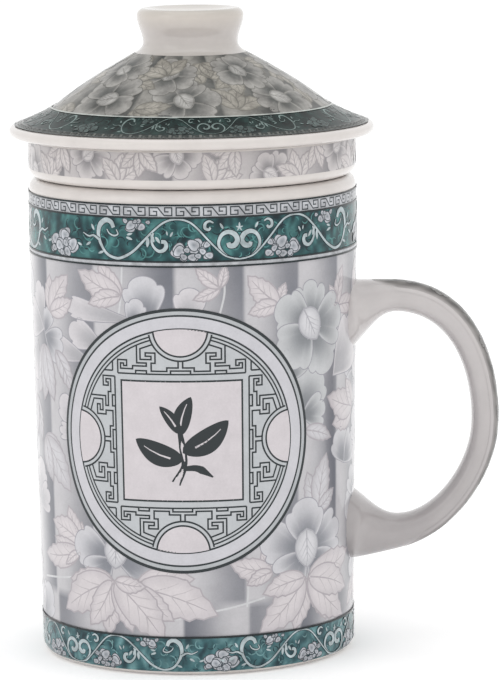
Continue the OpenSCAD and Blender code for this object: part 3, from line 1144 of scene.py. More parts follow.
def mug_field():
    """The flowers of the mug's field, drawn once for the front and once for the back.

    Places are millimetres across from the middle and heights on the mug.
    """
    middle = WALL_SURFACE.up_at(COIN_Z)
    narrowed = WALL_SURFACE.radius(middle) / MUG_R
    for side, azimuth in (("front", 0), ("back", 180)):
        draw = Drawing(WALL_SURFACE, FLOWER_LIFT)
        at = (azimuth, middle)

        def put(x, z):
            return (x * narrowed, z - COIN_Z)

        def stem(*points):
            draw.stroke(flowing([put(*p) for p in points]), STEM_W, at, STEM, cover=True)

        def petals(x, z, *shapes, tone=FLOWER_TONE):
            """Petals from one base, each by its lean, length and spread."""
            for k, (lean, length, spread) in enumerate(shapes):
                draw_petal(draw, at, put(x, z), length, lean, spread, tone, 2 + k % 2)

        def bud(x, z, lean, length):
            draw_bud(draw, at, put(x, z), length, lean, FLOWER_TONE)

        def leaf(base, tips, tone=LEAF_TONE, fat=0.4):
            draw_spray(draw, at, put(*base), [put(*t) for t in tips], tone, fat)

        # The sides, seen edge on
        for x, z, size, lean in SIDE_FLOWERS:
            draw_flower(draw, at, put(x, z), size, lean, FLOWER_TONE)
        leaf((54, 90), [(60, 84), (62, 91), (56, 80)])
        leaf((-57, 72), [(-50, 66), (-58, 62), (-64, 68)], LEAF_COOL)
        leaf((56, 18), [(50, 11), (58, 9.5), (63, 16)])
        # Stems
        stem((-13.2, 94), (-13.6, 87), (-14.8, 80))
        stem((9.8, 94), (10.3, 88), (9.2, 83))
        stem((-2, 13.2), (5, 14.6), (12, 15.8), (19.5, 17.4))
        stem((15, 15.6), (15.3, 20), (14.8, 27))
        stem((-45, 18.8), (-36, 19.9), (-30, 20.8))
        # Beside the coin, right
        petals(41, 66, (40, 17, 42), tone=PALE_TONE)
        petals(47, 45, (112, 9, 50), (40, 9, 48))
        petals(29.5, 58, (62, 12, 48), (10, 8.5, 48), tone=COOL_TONE)
        petals(25.5, 66, (62, 9, 46), tone=COOL_TONE)
        leaf((31, 54.8), [(40.3, 52)], LEAF_COOL)
        leaf((53, 57.5), [(41, 54.8), (48, 64.4), (38.8, 61.5)], fat=0.5)
        leaf((35.5, 36), [(31.6, 45), (41.5, 40), (38.5, 48.5)], LEAF_COOL, 0.5)
        # Beside the coin, left
        petals(-18, 75, (162, 11.5, 30), tone=PALE_TONE)
        petals(-22, 71.5, (168, 14, 20), tone=PALE_TONE)
        petals(-26, 54, (128, 11, 32), (175, 8, 25), tone=PALE_TONE)
        petals(-40, 77, (110, 11.5, 30), (166, 11.5, 40), tone=PALE_TONE)
        petals(-40, 76, (64, 7, 36), (-20, 8.8, 48))
        petals(-45, 74, (250, 10, 40), tone=PALE_TONE)
        leaf((-40, 73.5), [(-46, 61.5), (-36, 61), (-41.5, 60.5)], LEAF_COOL, 0.46)
        leaf((-34.6, 72.8), [(-28.4, 63.8)], LEAF_COOL, 0.42)
        leaf((-48, 61), [(-44, 50.5), (-49, 51)], LEAF_COOL)
        petals(-49, 36, (70, 11, 42), (15, 9, 40), tone=PALE_TONE)
        leaf((-41.5, 52), [(-32.5, 48.5), (-38, 42), (-30.2, 40.6)], LEAF_COOL, 0.46)
        # Round the top
        petals(-9, 81, (172, 22, 11), tone=PALE_TONE)
        petals(1.5, 80, (82, 9, 40), tone=PALE_TONE)
        petals(-7.3, 80.3, (97, 11.3, 44))
        petals(-11.4, 79.2, (76, 7.4, 34))
        leaf((-13.6, 86.8), [(-19.3, 94.4), (-22.4, 84.6), (-25.3, 92)], fat=0.46)
        leaf((-36.6, 81.4), [(-36.4, 90), (-27.8, 85), (-29, 90.6)], fat=0.5)
        leaf((9.3, 88.8), [(3.2, 86.2), (10.4, 94), (3.8, 93.4)], fat=0.42)
        leaf((23.4, 84.2), [(25.2, 89), (15.8, 82.6), (15.7, 91.2)], fat=0.52)
        leaf((42.6, 82), [(54, 81), (39.4, 87), (45.6, 91)], fat=0.42)
        petals(33, 78.5, (-61, 12.6, 44), (93, 10.6, 46), (150, 11.6, 44), (8, 11.6, 54), (221, 11.6, 56),
               tone=COOL_TONE)
        bud(32.6, 79, -60, 8.4)
        # Round the foot
        petals(-50, 7, (48, 13, 36), (88, 10, 36))
        leaf((-27, 29.4), [(-26.6, 34), (-38.6, 33), (-31.4, 37.2)], fat=0.5)
        leaf((-27.4, 27), [(-38, 29.2), (-33, 23.4), (-44, 24.4)], fat=0.36)
        petals(-17, 26.5, (114, 10, 40), (62, 10, 40), (165, 12.4, 38), (216, 10, 44), (-12, 14, 34))
        bud(-16.6, 28, -93, 7.6)
        leaf((-17.4, 21.4), [(-31.3, 20.4), (-19, 8.6), (-24.6, 10.4), (-33.6, 13)], fat=0.5)
        leaf((-11.5, 20.6), [(2.6, 22.6), (-2.4, 12.8), (8, 14)], fat=0.46)
        leaf((-17, 21.4), [(-12.6, 9.8), (-9, 20.5), (-4.6, 8)], fat=0.48)
        leaf((21.6, 23.2), [(18.6, 27.8), (15, 20.6), (11, 25.8)], fat=0.5)
        petals(31.5, 27, (163, 13.4, 36), (20, 13.4, 38), (-42, 12, 46), (225, 11, 48), (92, 12.2, 50))
        bud(31.6, 27.5, -88, 9)
        leaf((31, 20.8), [(27.6, 8.8), (19, 18.2), (18.2, 9.3)], fat=0.46)
        leaf((32, 20.8), [(38.6, 9.8), (49.6, 24.6), (48.4, 15.8), (46.6, 9.6)], fat=0.44)
        draw.piece("field_flowers_" + side, "mug", "mug_body", PRINT)


# ---------------------------------------------------------------- prints: the borders

BAND_GREEN = rgb(34, 76, 79)
BAND_PALE = rgb(70, 120, 119)
BAND_DARK = rgb(12, 32, 40)
BAND_SHADES = (BAND_PALE, BAND_GREEN, BAND_DARK)
FOOT_SHADES = (rgb(98, 136, 139), rgb(58, 98, 103), rgb(30, 54, 62))
RIM_GROUND = rgb(178, 180, 184)
KEY_INK = rgb(62, 67, 71)

# Colours of a scroll: its lines, its blossoms' light and shade, and the dark round them
MUG_SCROLL = (rgb(172, 184, 187), rgb(188, 190, 196), rgb(128, 134, 140), BAND_DARK)

# Widths of the lines round the mug, at the top and at the foot
TOP_LINE = 0.4
FOOT_LINE = 0.45

# The key border: how many units go round, and one unit's width, line and share of the height
KEY_UNITS = 39
KEY_AZIMUTH = 3.4
KEY_W = 5.1
KEY_LINE = 0.3
KEY_SHARE = 0.62
KEY = [(0.16, 0.52), (0.33, 0.52), (0.33, 0), (0, 0), (0, 1), (0.38, 1),
       (0.66, 0), (1, 0), (1, 1), (0.69, 1), (0.69, 0.48), (0.86, 0.48)]

# Where the hearts of the two scroll borders stand, and how many degrees apart they are
SCROLL_AZIMUTH = 21.0
SCROLL_PERIOD = 132.65
FOOT_SCROLL_AZIMUTH = 63.9
FOOT_SCROLL_PERIOD = 108.2

# The pale and dark swirls on a green ground: how many, how big in tenths of its height, how far
# round in degrees, and their widths from end to end
SWIRLS = 420
SWIRL_SIZES = (0.5, 1.6)
SWIRL_SWEEPS = (90, 210)
SWIRL_WIDTHS = (0.12, 0.34, 0.1)
SWIRL_SEED = 7

# How much the dark under a scroll's line shows on both sides of it together
DARK_EDGE = 0.34

# One half of a scroll, to the right of its heart and up from the band's lower edge, in units
# that are about a millimetre on the mug's top border: how high it is, and how long
SCROLL_H = 9.8
HALF_REPEAT = 43.7
HEART = [(0, 0.35), (2.1, 0.75), (3.9, 2.0), (4.8, 3.9), (4.1, 5.8), (2.6, 6.5), (1.1, 5.9), (0.5, 4.6),
         (1.2, 3.5), (2.3, 3.4), (2.6, 4.1)]
WAVE = [(1.2, 0.5), (3.3, 1.2), (5.2, 2.8), (7.3, 5.0), (10.1, 8.0), (12.1, 9.2), (14.6, 9.5), (17.1, 8.7),
        (19.6, 6.7), (21.6, 4.7), (24.1, 2.3), (26.6, 0.9), (28.4, 0.6), (30.7, 1.5), (32.3, 3.7),
        (32.9, 5.9), (32.4, 7.9), (30.9, 9.0), (29.5, 8.6), (28.9, 7.4)]
CURL = [(19.4, 6.4), (19.8, 4.7), (19.3, 3.3), (18.2, 2.4), (17.1, 2.6), (16.5, 3.5), (16.8, 4.4),
        (17.6, 4.5)]
HOOK_CURL = [(28.2, 7.0), (27.8, 6.0), (28.8, 5.6), (30.0, 6.1), (30.6, 7.0)]
TOP_CURL = [(5.9, 8.6), (6.8, 9.0), (7.7, 8.5), (7.8, 7.5), (7.0, 7.1), (6.6, 7.6)]
TENDRIL = [(32.7, 4.6), (34.2, 5.4), (35.6, 5.2), (37.2, 5.9)]
# Each line with its widths from end to end
VINES = (
    (HEART, (0.3, 0.5, 0.8, 1.1, 1.2, 0.9)),
    (WAVE, (0.3, 0.4, 0.4, 0.45, 0.6, 0.6, 1.2, 0.9)),
    (CURL, (0.4, 0.6, 0.9, 0.8)),
    (HOOK_CURL, (0.2, 0.4, 0.2)),
    (TOP_CURL, (0.3, 0.7, 0.5)),
    (TENDRIL, (0.6, 0.2)),
)
# Small blossoms, by place and radius: in the wave's hollows, and the peony between two repeats
BLOSSOMS = [(10.4, 3.7, 1.6), (13.6, 2.4, 1.5), (7.4, 3.8, 0.9), (6.9, 1.4, 1.0), (8.4, 2.3, 0.9),
            (10.7, 1.0, 1.1), (12.6, 1.1, 0.9), (9.4, 1.3, 0.8), (11.9, 2.6, 0.8), (22.1, 7.7, 1.0),
            (24.7, 8.0, 1.3), (22.8, 9.0, 0.7), (26.0, 9.0, 0.7), (20.6, 8.8, 0.6), (23.6, 8.9, 0.6)]
PEONY = [(-3.2, 3.9, 1.5), (0.4, 4.9, 1.6), (3.0, 3.0, 1.7), (-1.6, 2.4, 1.5), (1.3, 1.2, 1.3),
         (-3.6, 1.7, 1.0), (-0.6, 0.9, 0.9), (0.7, 3.1, 1.0)]
# Small leaves, by place, lean and length
SCROLL_LEAVES = [(3.7, 7.2, 60, 1.5), (0, 7.4, 90, 1.2), (0, 7.4, 20, 0.9), (0, 7.4, -50, 0.9),
                 (19.9, 6.2, 250, 2), (20.6, 5.4, 275, 2.2), (18.9, 5.6, 235, 1.8), (34.0, 6.6, 60, 1.6),
                 (35.0, 3.9, -30, 1.6), (15.6, 5.6, 120, 1.3), (16.2, 5.9, 80, 1), (25.8, 5.4, 200, 1.6),
                 (25.6, 5.9, 165, 1.4), (37.6, 3.0, 20, 1.5), (31.5, 2.0, -20, 1.6)]


def lines_round(draw, ups, width, tint=INK):
    """Lines all the way round, by their lengths up the surface."""
    for up in ups:
        draw.band(up - width / 2, up + width / 2, tint)


def scrolls(draw, low, wide, tall, azimuth, colours=MUG_SCROLL, weight=1.0):
    """One repeat of the scroll border, mirrored about the heart in its middle."""
    at = (azimuth, low)
    white, blossom_light, blossom_shade, dark = colours
    for side in (1, -1):
        def place(points):
            return np.asarray(points) * (side * wide, tall)

        def blossom(x, y, r):
            """Up to three lobes, the more the bigger it is, and the last one in the middle."""
            lobes = 1 + (r > 0.85) + (r > 1.15)
            for j in range(lobes):
                out = turn([(0.45 * r, 0)], 360 / lobes * j + 50 * x)[0] * (j < lobes - 1)
                lobe = oval(r * 1.9, r * 1.5, 40 * math.sin(9 * x + j), 3, 0.08, 14)
                edge = place(lobe + out + (x, y))
                draw.fill(edge, at, blossom_light, inner=blossom_shade, fade=(0.1, 0.8))
                draw.outline(edge, PETAL_EDGE_W, at, mixed(dark, blossom_shade, 0.25))

        for x, y, r in BLOSSOMS:
            blossom(x, y, r)
        if side == 1:
            for x, y, r in PEONY:
                blossom(HALF_REPEAT + x, y, r)
        for line, widths in VINES:
            line = place(flowing(line))
            under = [(w + DARK_EDGE) * tall * weight for w in widths]
            over = [w * tall * weight for w in widths]
            draw.stroke(line, under, at, dark, cover=True)
            draw.stroke(line, over, at, white, cover=True)
        for x, y, lean, long in SCROLL_LEAVES:
            draw.fill(place(turn(blade(long, 0.36 * long), lean) + (x, y)), at, white)


def green_band(draw, low, high, steps=600, rows=12, shades=BAND_SHADES):
    """The green ground of a border: cloudy, with dark patches and pale swirls."""
    pale, green, dark = shades

    def tint(angles, ups):
        u = angles * MUG_R
        drift = 1.6 * np.sin(0.31 * u + 0.8 * np.sin(0.9 * ups))
        cloud = np.sin(0.83 * u + drift) * np.sin(0.62 * ups + 1.3 * np.sin(0.47 * u + 1))
        swirl = np.sin(2.1 * u + 2.4 * np.sin(1.1 * ups + drift) + 1.7 * np.cos(0.9 * u))
        share = np.clip(0.5 + 0.42 * cloud + 0.16 * swirl, 0, 1)[:, None]
        low_shade, middle_shade, high_shade = np.array(shades)[:, :3]
        first_half = (middle_shade - low_shade) * np.clip(share * 2, 0, 1)
        second_half = (high_shade - middle_shade) * np.clip(share * 2 - 1, 0, 1)
        return low_shade + first_half + second_half

    draw.band(low, high, tint, steps, rows)
    draw.ground()
    chance = np.random.default_rng(SWIRL_SEED)
    for k in range(SWIRLS):
        size = chance.uniform(*SWIRL_SIZES) * (high - low) / 10
        start = chance.uniform(0, 360)
        line = arc(0, 0, size, start, start + chance.uniform(*SWIRL_SWEEPS), 7)
        spot = (chance.uniform(-270, 90), chance.uniform(low + size, high - size))
        # Every third one is dark
        shade = mixed(pale, green, chance.uniform(-0.5, 0.4)) if k % 3 else dark
        draw.stroke(line, SWIRL_WIDTHS, spot, shade)
    draw.ground()


def key_border(draw, low, high):
    """Square-cornered scrolls, one every 9 degrees or so."""
    draw.band(low, high, RIM_GROUND, rows=3)
    draw.ground()
    key = (np.array(KEY) - 0.5) * (KEY_W, (high - low) * KEY_SHARE)
    for i in range(KEY_UNITS):
        azimuth = (KEY_AZIMUTH + 360 * i / KEY_UNITS + 270) % 360 - 270
        draw.stroke(key, KEY_LINE, (azimuth, (low + high) / 2), KEY_INK)


def top_border():
    """Scrolls on green and the key border above them, with a line at every edge."""
    heights = (FIELD_TOP_Z, BAND_LOW_Z, KEY_LOW_Z, KEY_TOP_Z)
    field_top, band_low, key_low, key_top = (WALL_SURFACE.up_at(z) for z in heights)
    draw = Drawing(WALL_SURFACE, BORDER_LIFT, ALL_ROUND)
    key_border(draw, key_low, key_top)
    green_band(draw, band_low, key_low)
    draw.band(field_top, band_low, RIM_GROUND)
    tall = (key_low - band_low) / SCROLL_H
    for k in range(-2, 2):
        scrolls(draw, band_low, 1, tall, SCROLL_AZIMUTH + SCROLL_PERIOD * k)
    draw.ground()
    lines_round(draw, (key_top, key_low, band_low, field_top), TOP_LINE)
    draw.piece("top_border", "mug", "mug_body", BORDER_PRINT)


def foot_border():
    """The same scrolls, smaller, on a paler green."""
    low, high = WALL_SURFACE.up_at(FOOT_BAND_Z), WALL_SURFACE.up_at(BORDER_LOW_Z)
    draw = Drawing(WALL_SURFACE, BORDER_LIFT, ALL_ROUND)
    green_band(draw, low, high, shades=FOOT_SHADES)
    scale = (high - low) / SCROLL_H
    for k in range(-3, 1):
        scrolls(draw, low, scale, scale, FOOT_SCROLL_AZIMUTH + FOOT_SCROLL_PERIOD * k)
    draw.ground()
    lines_round(draw, (high,), FOOT_LINE)
    draw.piece("foot_border", "mug", "mug_body", BORDER_PRINT)


# ---------------------------------------------------------------- prints: the coin

COIN_RIM = rgb(172, 175, 178)
COIN_WHITE = rgb(194, 193, 198)
COIN_GROUND = rgb(182, 185, 188)
COIN_PINK = rgb(201, 195, 198)

# The coin is printed a little wider than high
COIN_STRETCH = (1.015, 1.004)
# Its rings: the edge, the inside of the rim and the inside of the white ring. Grounds meet under them
COIN_R = 29.8
RIM_R = 28.45
FIELD_R = 25.45
COIN_LINE = 0.68
RING_LINE = 0.42
UNDER = 0.05
# The two rings that frame the frets, between the lobes
FRAME_RINGS = (24.55, 23.8)
FRAME_LINE = 0.36
FRAME_GAP = 0.3
# A lobe on each side: how far out its middle is, its radius, and how far its second line is inside
LOBE_OUT = 25.2
LOBE_R = 7.0
LOBE_STEP = 1
LOBE_LINE = 0.4
# The square in the middle
SQUARE_HALF = 13.6
# One half of the fret on a side of the square, along the side and out from its middle
FRET_LINE = 0.37
FRET = [
    [(6.2, 21.9), (9.0, 20.9), (9.0, 18.5), (6.5, 18.5), (6.5, 19.25), (7.8, 19.25), (7.8, 20.0), (5.6, 20.0),
     (5.6, 17.7), (6.5, 17.7), (6.5, 15.9), (3.0, 15.9), (3.0, 16.7), (0.5, 16.7), (0.5, 18.2)],
    [(14.4, 15.2), (14.4, 18.25), (12.2, 18.25), (12.2, 16.95), (12.95, 16.95), (12.95, 17.5), (13.7, 17.5),
     (13.7, 16.3), (10.8, 16.3), (10.8, 17.0), (7.6, 17.0), (7.6, 17.7), (9.8, 17.7), (9.8, 21.6)],
    [(10.1, 15.2), (10.1, 15.95), (7.6, 15.95), (7.6, 15.2)],
    [(2.2, 15.2), (2.2, 16.0), (0, 16.0)],
    [(14.4, 15.2), (0, 15.2)],
    [(15.7, 15.7), (15.7, 17.8)],
]

# The sprig's leaves: base, tip, width and bend
SPRIG_LEAVES = (
    ((0.2, -2.6), (10.6, 4.6), 5.6, -1.0),
    ((0.3, -4.4), (-10.6, 0.4), 5.2, 0.9),
    ((-0.4, 1.4), (2.2, 10.2), 4.0, 0.6),
    ((-0.4, 1.8), (-4.9, 8.0), 2.8, -0.4),
)


def lobe_arc(r):
    """The part of a lobe's circle that lies inside the white ring."""
    return np.array([p for p in arc(LOBE_OUT, 0, r, 90, 270, 40) if math.hypot(*p) < FIELD_R])


def coin(azimuth, name):
    """A round ornament like an old coin: rings, a square, four lobes and frets between."""
    draw = Drawing(WALL_SURFACE, BORDER_LIFT)
    at = (azimuth, WALL_SURFACE.up_at(COIN_Z))

    def stretched(line, quarter=0):
        return turn(line, 90 * quarter) * COIN_STRETCH

    def disc(r, tint, hole_r=0, ring=0.9):
        edge = stretched(oval(2 * r, 2 * r))
        draw.fill(edge, at, tint, heart=(0, 0), hole=hole_r / r, ring=ring)

    def inked(line, width, quarter=0, closed=False):
        draw.stroke(stretched(line, quarter), width, at, INK, closed)

    disc(COIN_R + 2 * UNDER, COIN_RIM, RIM_R - UNDER)
    disc(RIM_R + UNDER, COIN_WHITE, FIELD_R - UNDER)
    disc(FIELD_R + UNDER, COIN_GROUND, ring=1.0)
    draw.ground()
    for r, width in ((COIN_R, COIN_LINE), (RIM_R, RING_LINE), (FIELD_R, RING_LINE)):
        inked(oval(2 * r, 2 * r), width, closed=True)
    lobe, inner = lobe_arc(LOBE_R), lobe_arc(LOBE_R - LOBE_STEP)
    back = math.degrees(math.atan2(inner[0][1], inner[0][0]))
    lens = np.vstack([inner, arc(0, 0, FIELD_R - UNDER, -back, back, 16)])
    beside_lobe = math.degrees(2 * math.asin(LOBE_R / 2 / LOBE_OUT)) + FRAME_GAP
    for k in range(4):
        for r in FRAME_RINGS:
            inked(arc(0, 0, r, beside_lobe, 90 - beside_lobe, 40), FRAME_LINE, k)
        draw.fill(stretched(lens, k), at, COIN_PINK)
        inked(lobe, LOBE_LINE, k)
        inked(inner, LOBE_LINE, k)
        for line in FRET:
            for flip in (1, -1):
                inked(np.array(line) * (flip, 1), FRET_LINE, k)
    draw.ground()
    square = np.array([(-1, -1), (1, -1), (1, 1), (-1, 1)]) * SQUARE_HALF
    draw.fill(stretched(square), at, COIN_PINK)
    inked(square, RING_LINE, closed=True)
    draw.ground()
    tea_sprig(draw, at)
    draw.piece(name, "mug", "mug_body", PRINT)


def tea_sprig(draw, at):
    """Two leaves, a bud and a small leaf on a stem, as if drawn with a wet brush."""
    stem = flowing([(-1.4, -9.6), (0.5, -5.6), (0.2, -1.5), (-0.5, 3.0)])
    draw.stroke(stem, (2.2, 1.3, 1.6, 1.0), at, INK, step=0.6)
    for base, tip, width, bend in SPRIG_LEAVES:
        lean = direction(base, tip)
        length = math.dist(base, tip)
        draw.fill(turn(blade(length, width, bend, 24), lean) + base, at, INK)
        rib = [(length * t, bend * math.sin(math.pi * t) + 0.05) for t in (0.24, 0.45, 0.66, 0.8)]
        draw.stroke(turn(rib, lean) + base, (0.42, 0.15), at, COIN_PINK)
    twig = flowing([(0.3, -6.2), (3.6, -6.2), (7.0, -8.2)])
    draw.stroke(twig, (1.0, 1.8, 0.3), at, INK, step=0.6)


# ---------------------------------------------------------------- prints: lid, band and handle

# Bars: their light and dark, and how many go round; the lid's are darkened with painted shade as it faces up
LID_BAR_COUNT = 15
BAND_BAR_COUNT = 17
LID_SHADED_BARS = (rgb(140, 138, 133), rgb(70, 72, 71))
BAND_BARS = (rgb(186, 181, 181), rgb(126, 124, 127))

# The lid dome's print, darkened with painted shade as the lid faces up
LID_SHADED_TONE = (rgb(149, 147, 143), rgb(86, 87, 85), rgb(112, 111, 107))
LID_SHADED_LEAF = (rgb(155, 151, 143), rgb(128, 126, 118), rgb(110, 108, 102))
BRIM_SHADES = (rgb(36, 58, 55), rgb(16, 36, 34), rgb(2, 12, 12))
BRIM_SCROLL = (rgb(112, 128, 125), rgb(84, 98, 96), rgb(50, 64, 62), rgb(2, 10, 10))
BRIM_GROUND = rgb(98, 100, 96)
BRIM_INK = rgb(36, 46, 46)
BRIM_PALE_LINE = rgb(176, 180, 176)
BRIM_DARK_LINE = rgb(70, 76, 76)

# Sprays on an eighth of the lid: degrees on, length up from the brim's band, and reach
LID_SPRAYS = ((25, 2.8, 8.4), (11, 12, 8.0), (34, 15, 7.6), (14, 20, 5.8))
# The brim's little keys: how many, their outline and line
BRIM_KEYS = 110
BRIM_KEY_SHAPE = [(-0.8, -0.45), (-0.8, 0.45), (0.5, 0.45), (0.5, -0.15), (-0.2, -0.15)]
BRIM_KEY_LINE = 0.28
# The brim's scroll: how wide it is drawn, and its lines' weight
BRIM_SCROLL_W = 0.68
BRIM_SCROLL_WEIGHT = 0.6

BAND_TONE = (rgb(194, 189, 189), rgb(134, 131, 133), rgb(154, 150, 152))
BAND_LEAF = (rgb(203, 197, 196), rgb(181, 175, 175), rgb(152, 147, 149))
BAND_FLOWERS = 11

# The handle's glaze at its foot and at its top: painted shade, darker than the plain porcelain and darkest at
# its foot
HANDLE_SHADE_LOW = rgb(165, 160, 160)
HANDLE_SHADE_TOP = rgb(194, 189, 188)
# The printed strip: half its width, how far from its ends it narrows, and where on the bow they are
STRIP_HALF = 4.9
STRIP_TAPER = 6
STRIP_START = 7
STRIP_END = 14
STRIP_TINTS = (rgb(122, 119, 116), rgb(54, 53, 51))
STRIP_TONE = (rgb(136, 134, 132), rgb(88, 86, 84), rgb(70, 69, 67))
# Its flowers and sprays keep to the middle of the strip, and are this far apart
STRIP_MIDDLE = 0.68
STRIP_PITCH = 8

# How far a spray's side leaves lean from its middle one
SPREAD = (-46, 46, 0)


def lid_print():
    """Flowers on the dome, scrolls on the brim and keys at the lip."""
    top = LID_SURFACE.up[-1] - 1.2 * KNOB_COVE
    draw = Drawing(LID_SURFACE, GROUND_LIFT, (ANY_AZIMUTH, (BRIM_BAND, top)))
    bars(draw, BRIM_BAND, top, uneven(LID_BAR_COUNT), *LID_SHADED_BARS)
    for k in range(8):
        lean = 37 * k
        for on, up, reach in LID_SPRAYS:
            lean += 71
            draw_spray(draw, (45 * k + on, BRIM_BAND + up), (0, 0), fan(reach, lean, SPREAD), LID_SHADED_LEAF, 0.52)
        low = (45 * k + 2 + 5 * (k % 2), BRIM_BAND + 5.8)
        high = (45 * k - 9 + 4 * (k % 3), BRIM_BAND + 15.5 + k % 2)
        draw_flower(draw, low, (0, 0), 8.6, 90 + lean, LID_SHADED_TONE)
        draw_flower(draw, high, (0, 0), 7.2, 40 + lean, LID_SHADED_TONE)
    draw.ground()
    draw.limits = None
    draw.follow = True
    green_band(draw, BRIM_KEY, BRIM_BAND, steps=420, rows=8, shades=BRIM_SHADES)
    draw.band(BRIM_LINE, BRIM_KEY, BRIM_GROUND)
    tall = (BRIM_BAND - BRIM_KEY) / SCROLL_H
    for k in range(4):
        scrolls(draw, BRIM_KEY, BRIM_SCROLL_W, tall, 90 * k + 12, BRIM_SCROLL, BRIM_SCROLL_WEIGHT)
    draw.ground()
    key_up = BRIM_LINE + (BRIM_KEY - BRIM_LINE) / 2
    for i in range(BRIM_KEYS):
        draw.stroke(BRIM_KEY_SHAPE, BRIM_KEY_LINE, (360 * i / BRIM_KEYS, key_up), BRIM_INK)
    lines_round(draw, (BRIM_BAND + 0.1,), 0.4, BRIM_PALE_LINE)
    lines_round(draw, (BRIM_LINE - 0.05,), 0.3, BRIM_DARK_LINE)
    draw.piece("lid_print", "lid", "lid", LID_PRINT)


def collar_print():
    """Flowers and sprays round the infuser's band."""
    low, high = COLLAR_SURFACE.up_at(COLLAR_PRINT_Z), COLLAR_SURFACE.up_at(COLLAR_TOP - EDGE_R)
    draw = Drawing(COLLAR_SURFACE, GROUND_LIFT, (ANY_AZIMUTH, (low, high)))
    bars(draw, low, high, uneven(BAND_BAR_COUNT), *BAND_BARS, rows=8)
    middle = (low + high) / 2
    for k in range(BAND_FLOWERS):
        azimuth = 360 / BAND_FLOWERS * k
        lean = 47 * k
        draw_flower(draw, (azimuth, middle), (0, 2.4 * (-1) ** k), 5.8, lean, BAND_TONE)
        for on, up, reach, way in ((12, -3.8, 7, 60), (20, 3.8, 6.4, 225 + 20 * (k % 3))):
            tips = fan(reach, way + lean % 50, SPREAD)
            draw_spray(draw, (azimuth + on, middle + up), (0, 0), tips, BAND_LEAF, 0.5)
    draw.piece("collar_print", "infuser", "infuser", PRINT)


def strip_ground(draw, start, end):
    """The strip's mottled ground, which thins out into the handle's glaze at its sides."""
    rows = np.linspace(start, end, 200)
    columns = np.linspace(-1, 1, 13)
    share, along = (grid.ravel() for grid in np.meshgrid(columns, rows))
    from_end = np.minimum(along - start, end - along)
    across = share * STRIP_HALF * np.clip(from_end / STRIP_TAPER, 0.01, 1) ** 0.5
    mottled = 0.5 + 0.3 * np.sin(along / 0.9 + 2 * np.sin(across)) + 0.2 * np.sin(along / 3.3 + across)
    # The lower arm is paler
    pale = np.clip((along - end / 2) / (end / 2), 0, 1) * 0.7
    light, dark, low, top = (np.array(tint[:3]) for tint in (*STRIP_TINTS, HANDLE_SHADE_LOW, HANDLE_SHADE_TOP))
    tints = dark + (light - dark) * (mottled + (1 - mottled) * pale)[:, None]
    places, normals = HANDLE_SURFACE.wrap(across, along, draw.base)
    # At its sides the strip fades into the handle's painted shade, darker towards its foot
    height = np.clip((places[:, 2] / MM - HANDLE_BOTTOM_Z) / (HANDLE_TOP_Z - HANDLE_BOTTOM_Z), 0, 1)
    thin = np.clip((np.abs(share) - 0.6) / 0.38, 0, 1)[:, None]
    tints = tints + (low + (top - low) * height[:, None] - tints) * thin
    draw.add(places, normals, tints, between_rings(len(columns), len(rows), closed=False))
    draw.ground()


def handle_print():
    """The strip of flowered print along the outer face of the handle."""
    start, end = STRIP_START, HANDLE_SURFACE.along[-1] - STRIP_END
    draw = Drawing(HANDLE_SURFACE, STRIP_LIFT)
    strip_ground(draw, start, end)
    side = STRIP_MIDDLE * STRIP_HALF
    draw.limits = ((-side, side), (start, end))
    for k in range(int((end - start) / STRIP_PITCH) - 1):
        middle = (0.5 * (-1) ** k, start + STRIP_PITCH * (k + 1))
        if k % 2:
            draw_flower(draw, (0, 0), middle, 2.8, 40 * k, STRIP_TONE)
        else:
            for lean in (40, 150, 265):
                tips = fan(3.2, lean + 17 * k, (-30, 15), middle)
                draw_spray(draw, (0, 0), middle, tips, STRIP_TONE, 0.42)
    draw.piece("handle_strip", "mug", "handle", STRIP_PRINT)


# ---------------------------------------------------------------- colours of the glazes

CLOUD_SCALE = 260
FINE_CLOUD_SCALE = 420
GRAIN_SCALE = 2400


def printed(paint, least=0.93, most=1.03, scale=CLOUD_SCALE):
    """The colour of the print, a little uneven as a fired transfer is."""
    cloud = paint.span(paint.noise(scale, 3, 0.6), 0.3, 0.75, least, most)
    grain = paint.span(paint.noise(GRAIN_SCALE, 1, 0.5), 0.3, 0.7, 0.97, 1.02)
    shade = cloud * grain
    shades = paint.add("ShaderNodeCombineXYZ", [shade, shade, shade])
    return paint.add("ShaderNodeVectorMath", [paint.tint(), shades], operation="MULTIPLY")


def clouded(paint):
    """The same, cloudier."""
    return printed(paint, 0.7, 1.3, FINE_CLOUD_SCALE)


def painted_shade_by_height(*stops):
    """Painted shade by height: the glaze's colour at each height, from the lowest."""

    def colour(paint):
        height = paint.add("ShaderNodeSeparateXYZ", [paint.place()], output="Z")
        tint = stops[0][1]
        for (low, _), (high, next_tint) in zip(stops, stops[1:]):
            tint = paint.mix(paint.span(height, low * MM, high * MM), tint, next_tint)
        values = {"Vector": tint, "Scale": mottle(paint, 1.0, MOTTLE_LEAST)}
        return paint.add("ShaderNodeVectorMath", values, operation="SCALE")

    return colour


# ---------------------------------------------------------------- camera and light

# The view of the photograph, solved from its ellipses: metres and radians
CAMERA_AZIMUTH = math.radians(4.4)
CAMERA_BACK = 1000 * MM
CAMERA_UP = 215.2 * MM
CAMERA_SIDE = 13.09 * MM
CAMERA_PITCH = math.radians(8.17)
CAMERA_ROLL = 0.0122
# The lens is this many pixels long on a frame this high, and the sensor's long side is in millimetres
LENS_PIXELS = 4350
FRAME_PIXELS = 680
SENSOR = 36
FARTHEST = 20

FLOOR_SIZE = 12
FLOOR_BACK = 2
PAPER = ((0.95, 0.95, 0.95, 1), (0.97, 0.97, 0.97, 1))
PAPER_GLOW = 0.13
WHITE = (1, 1, 1, 1)
SKY_STRENGTH = 1.02
LAMPS_AIM = Vector((0, 0, 0.07))
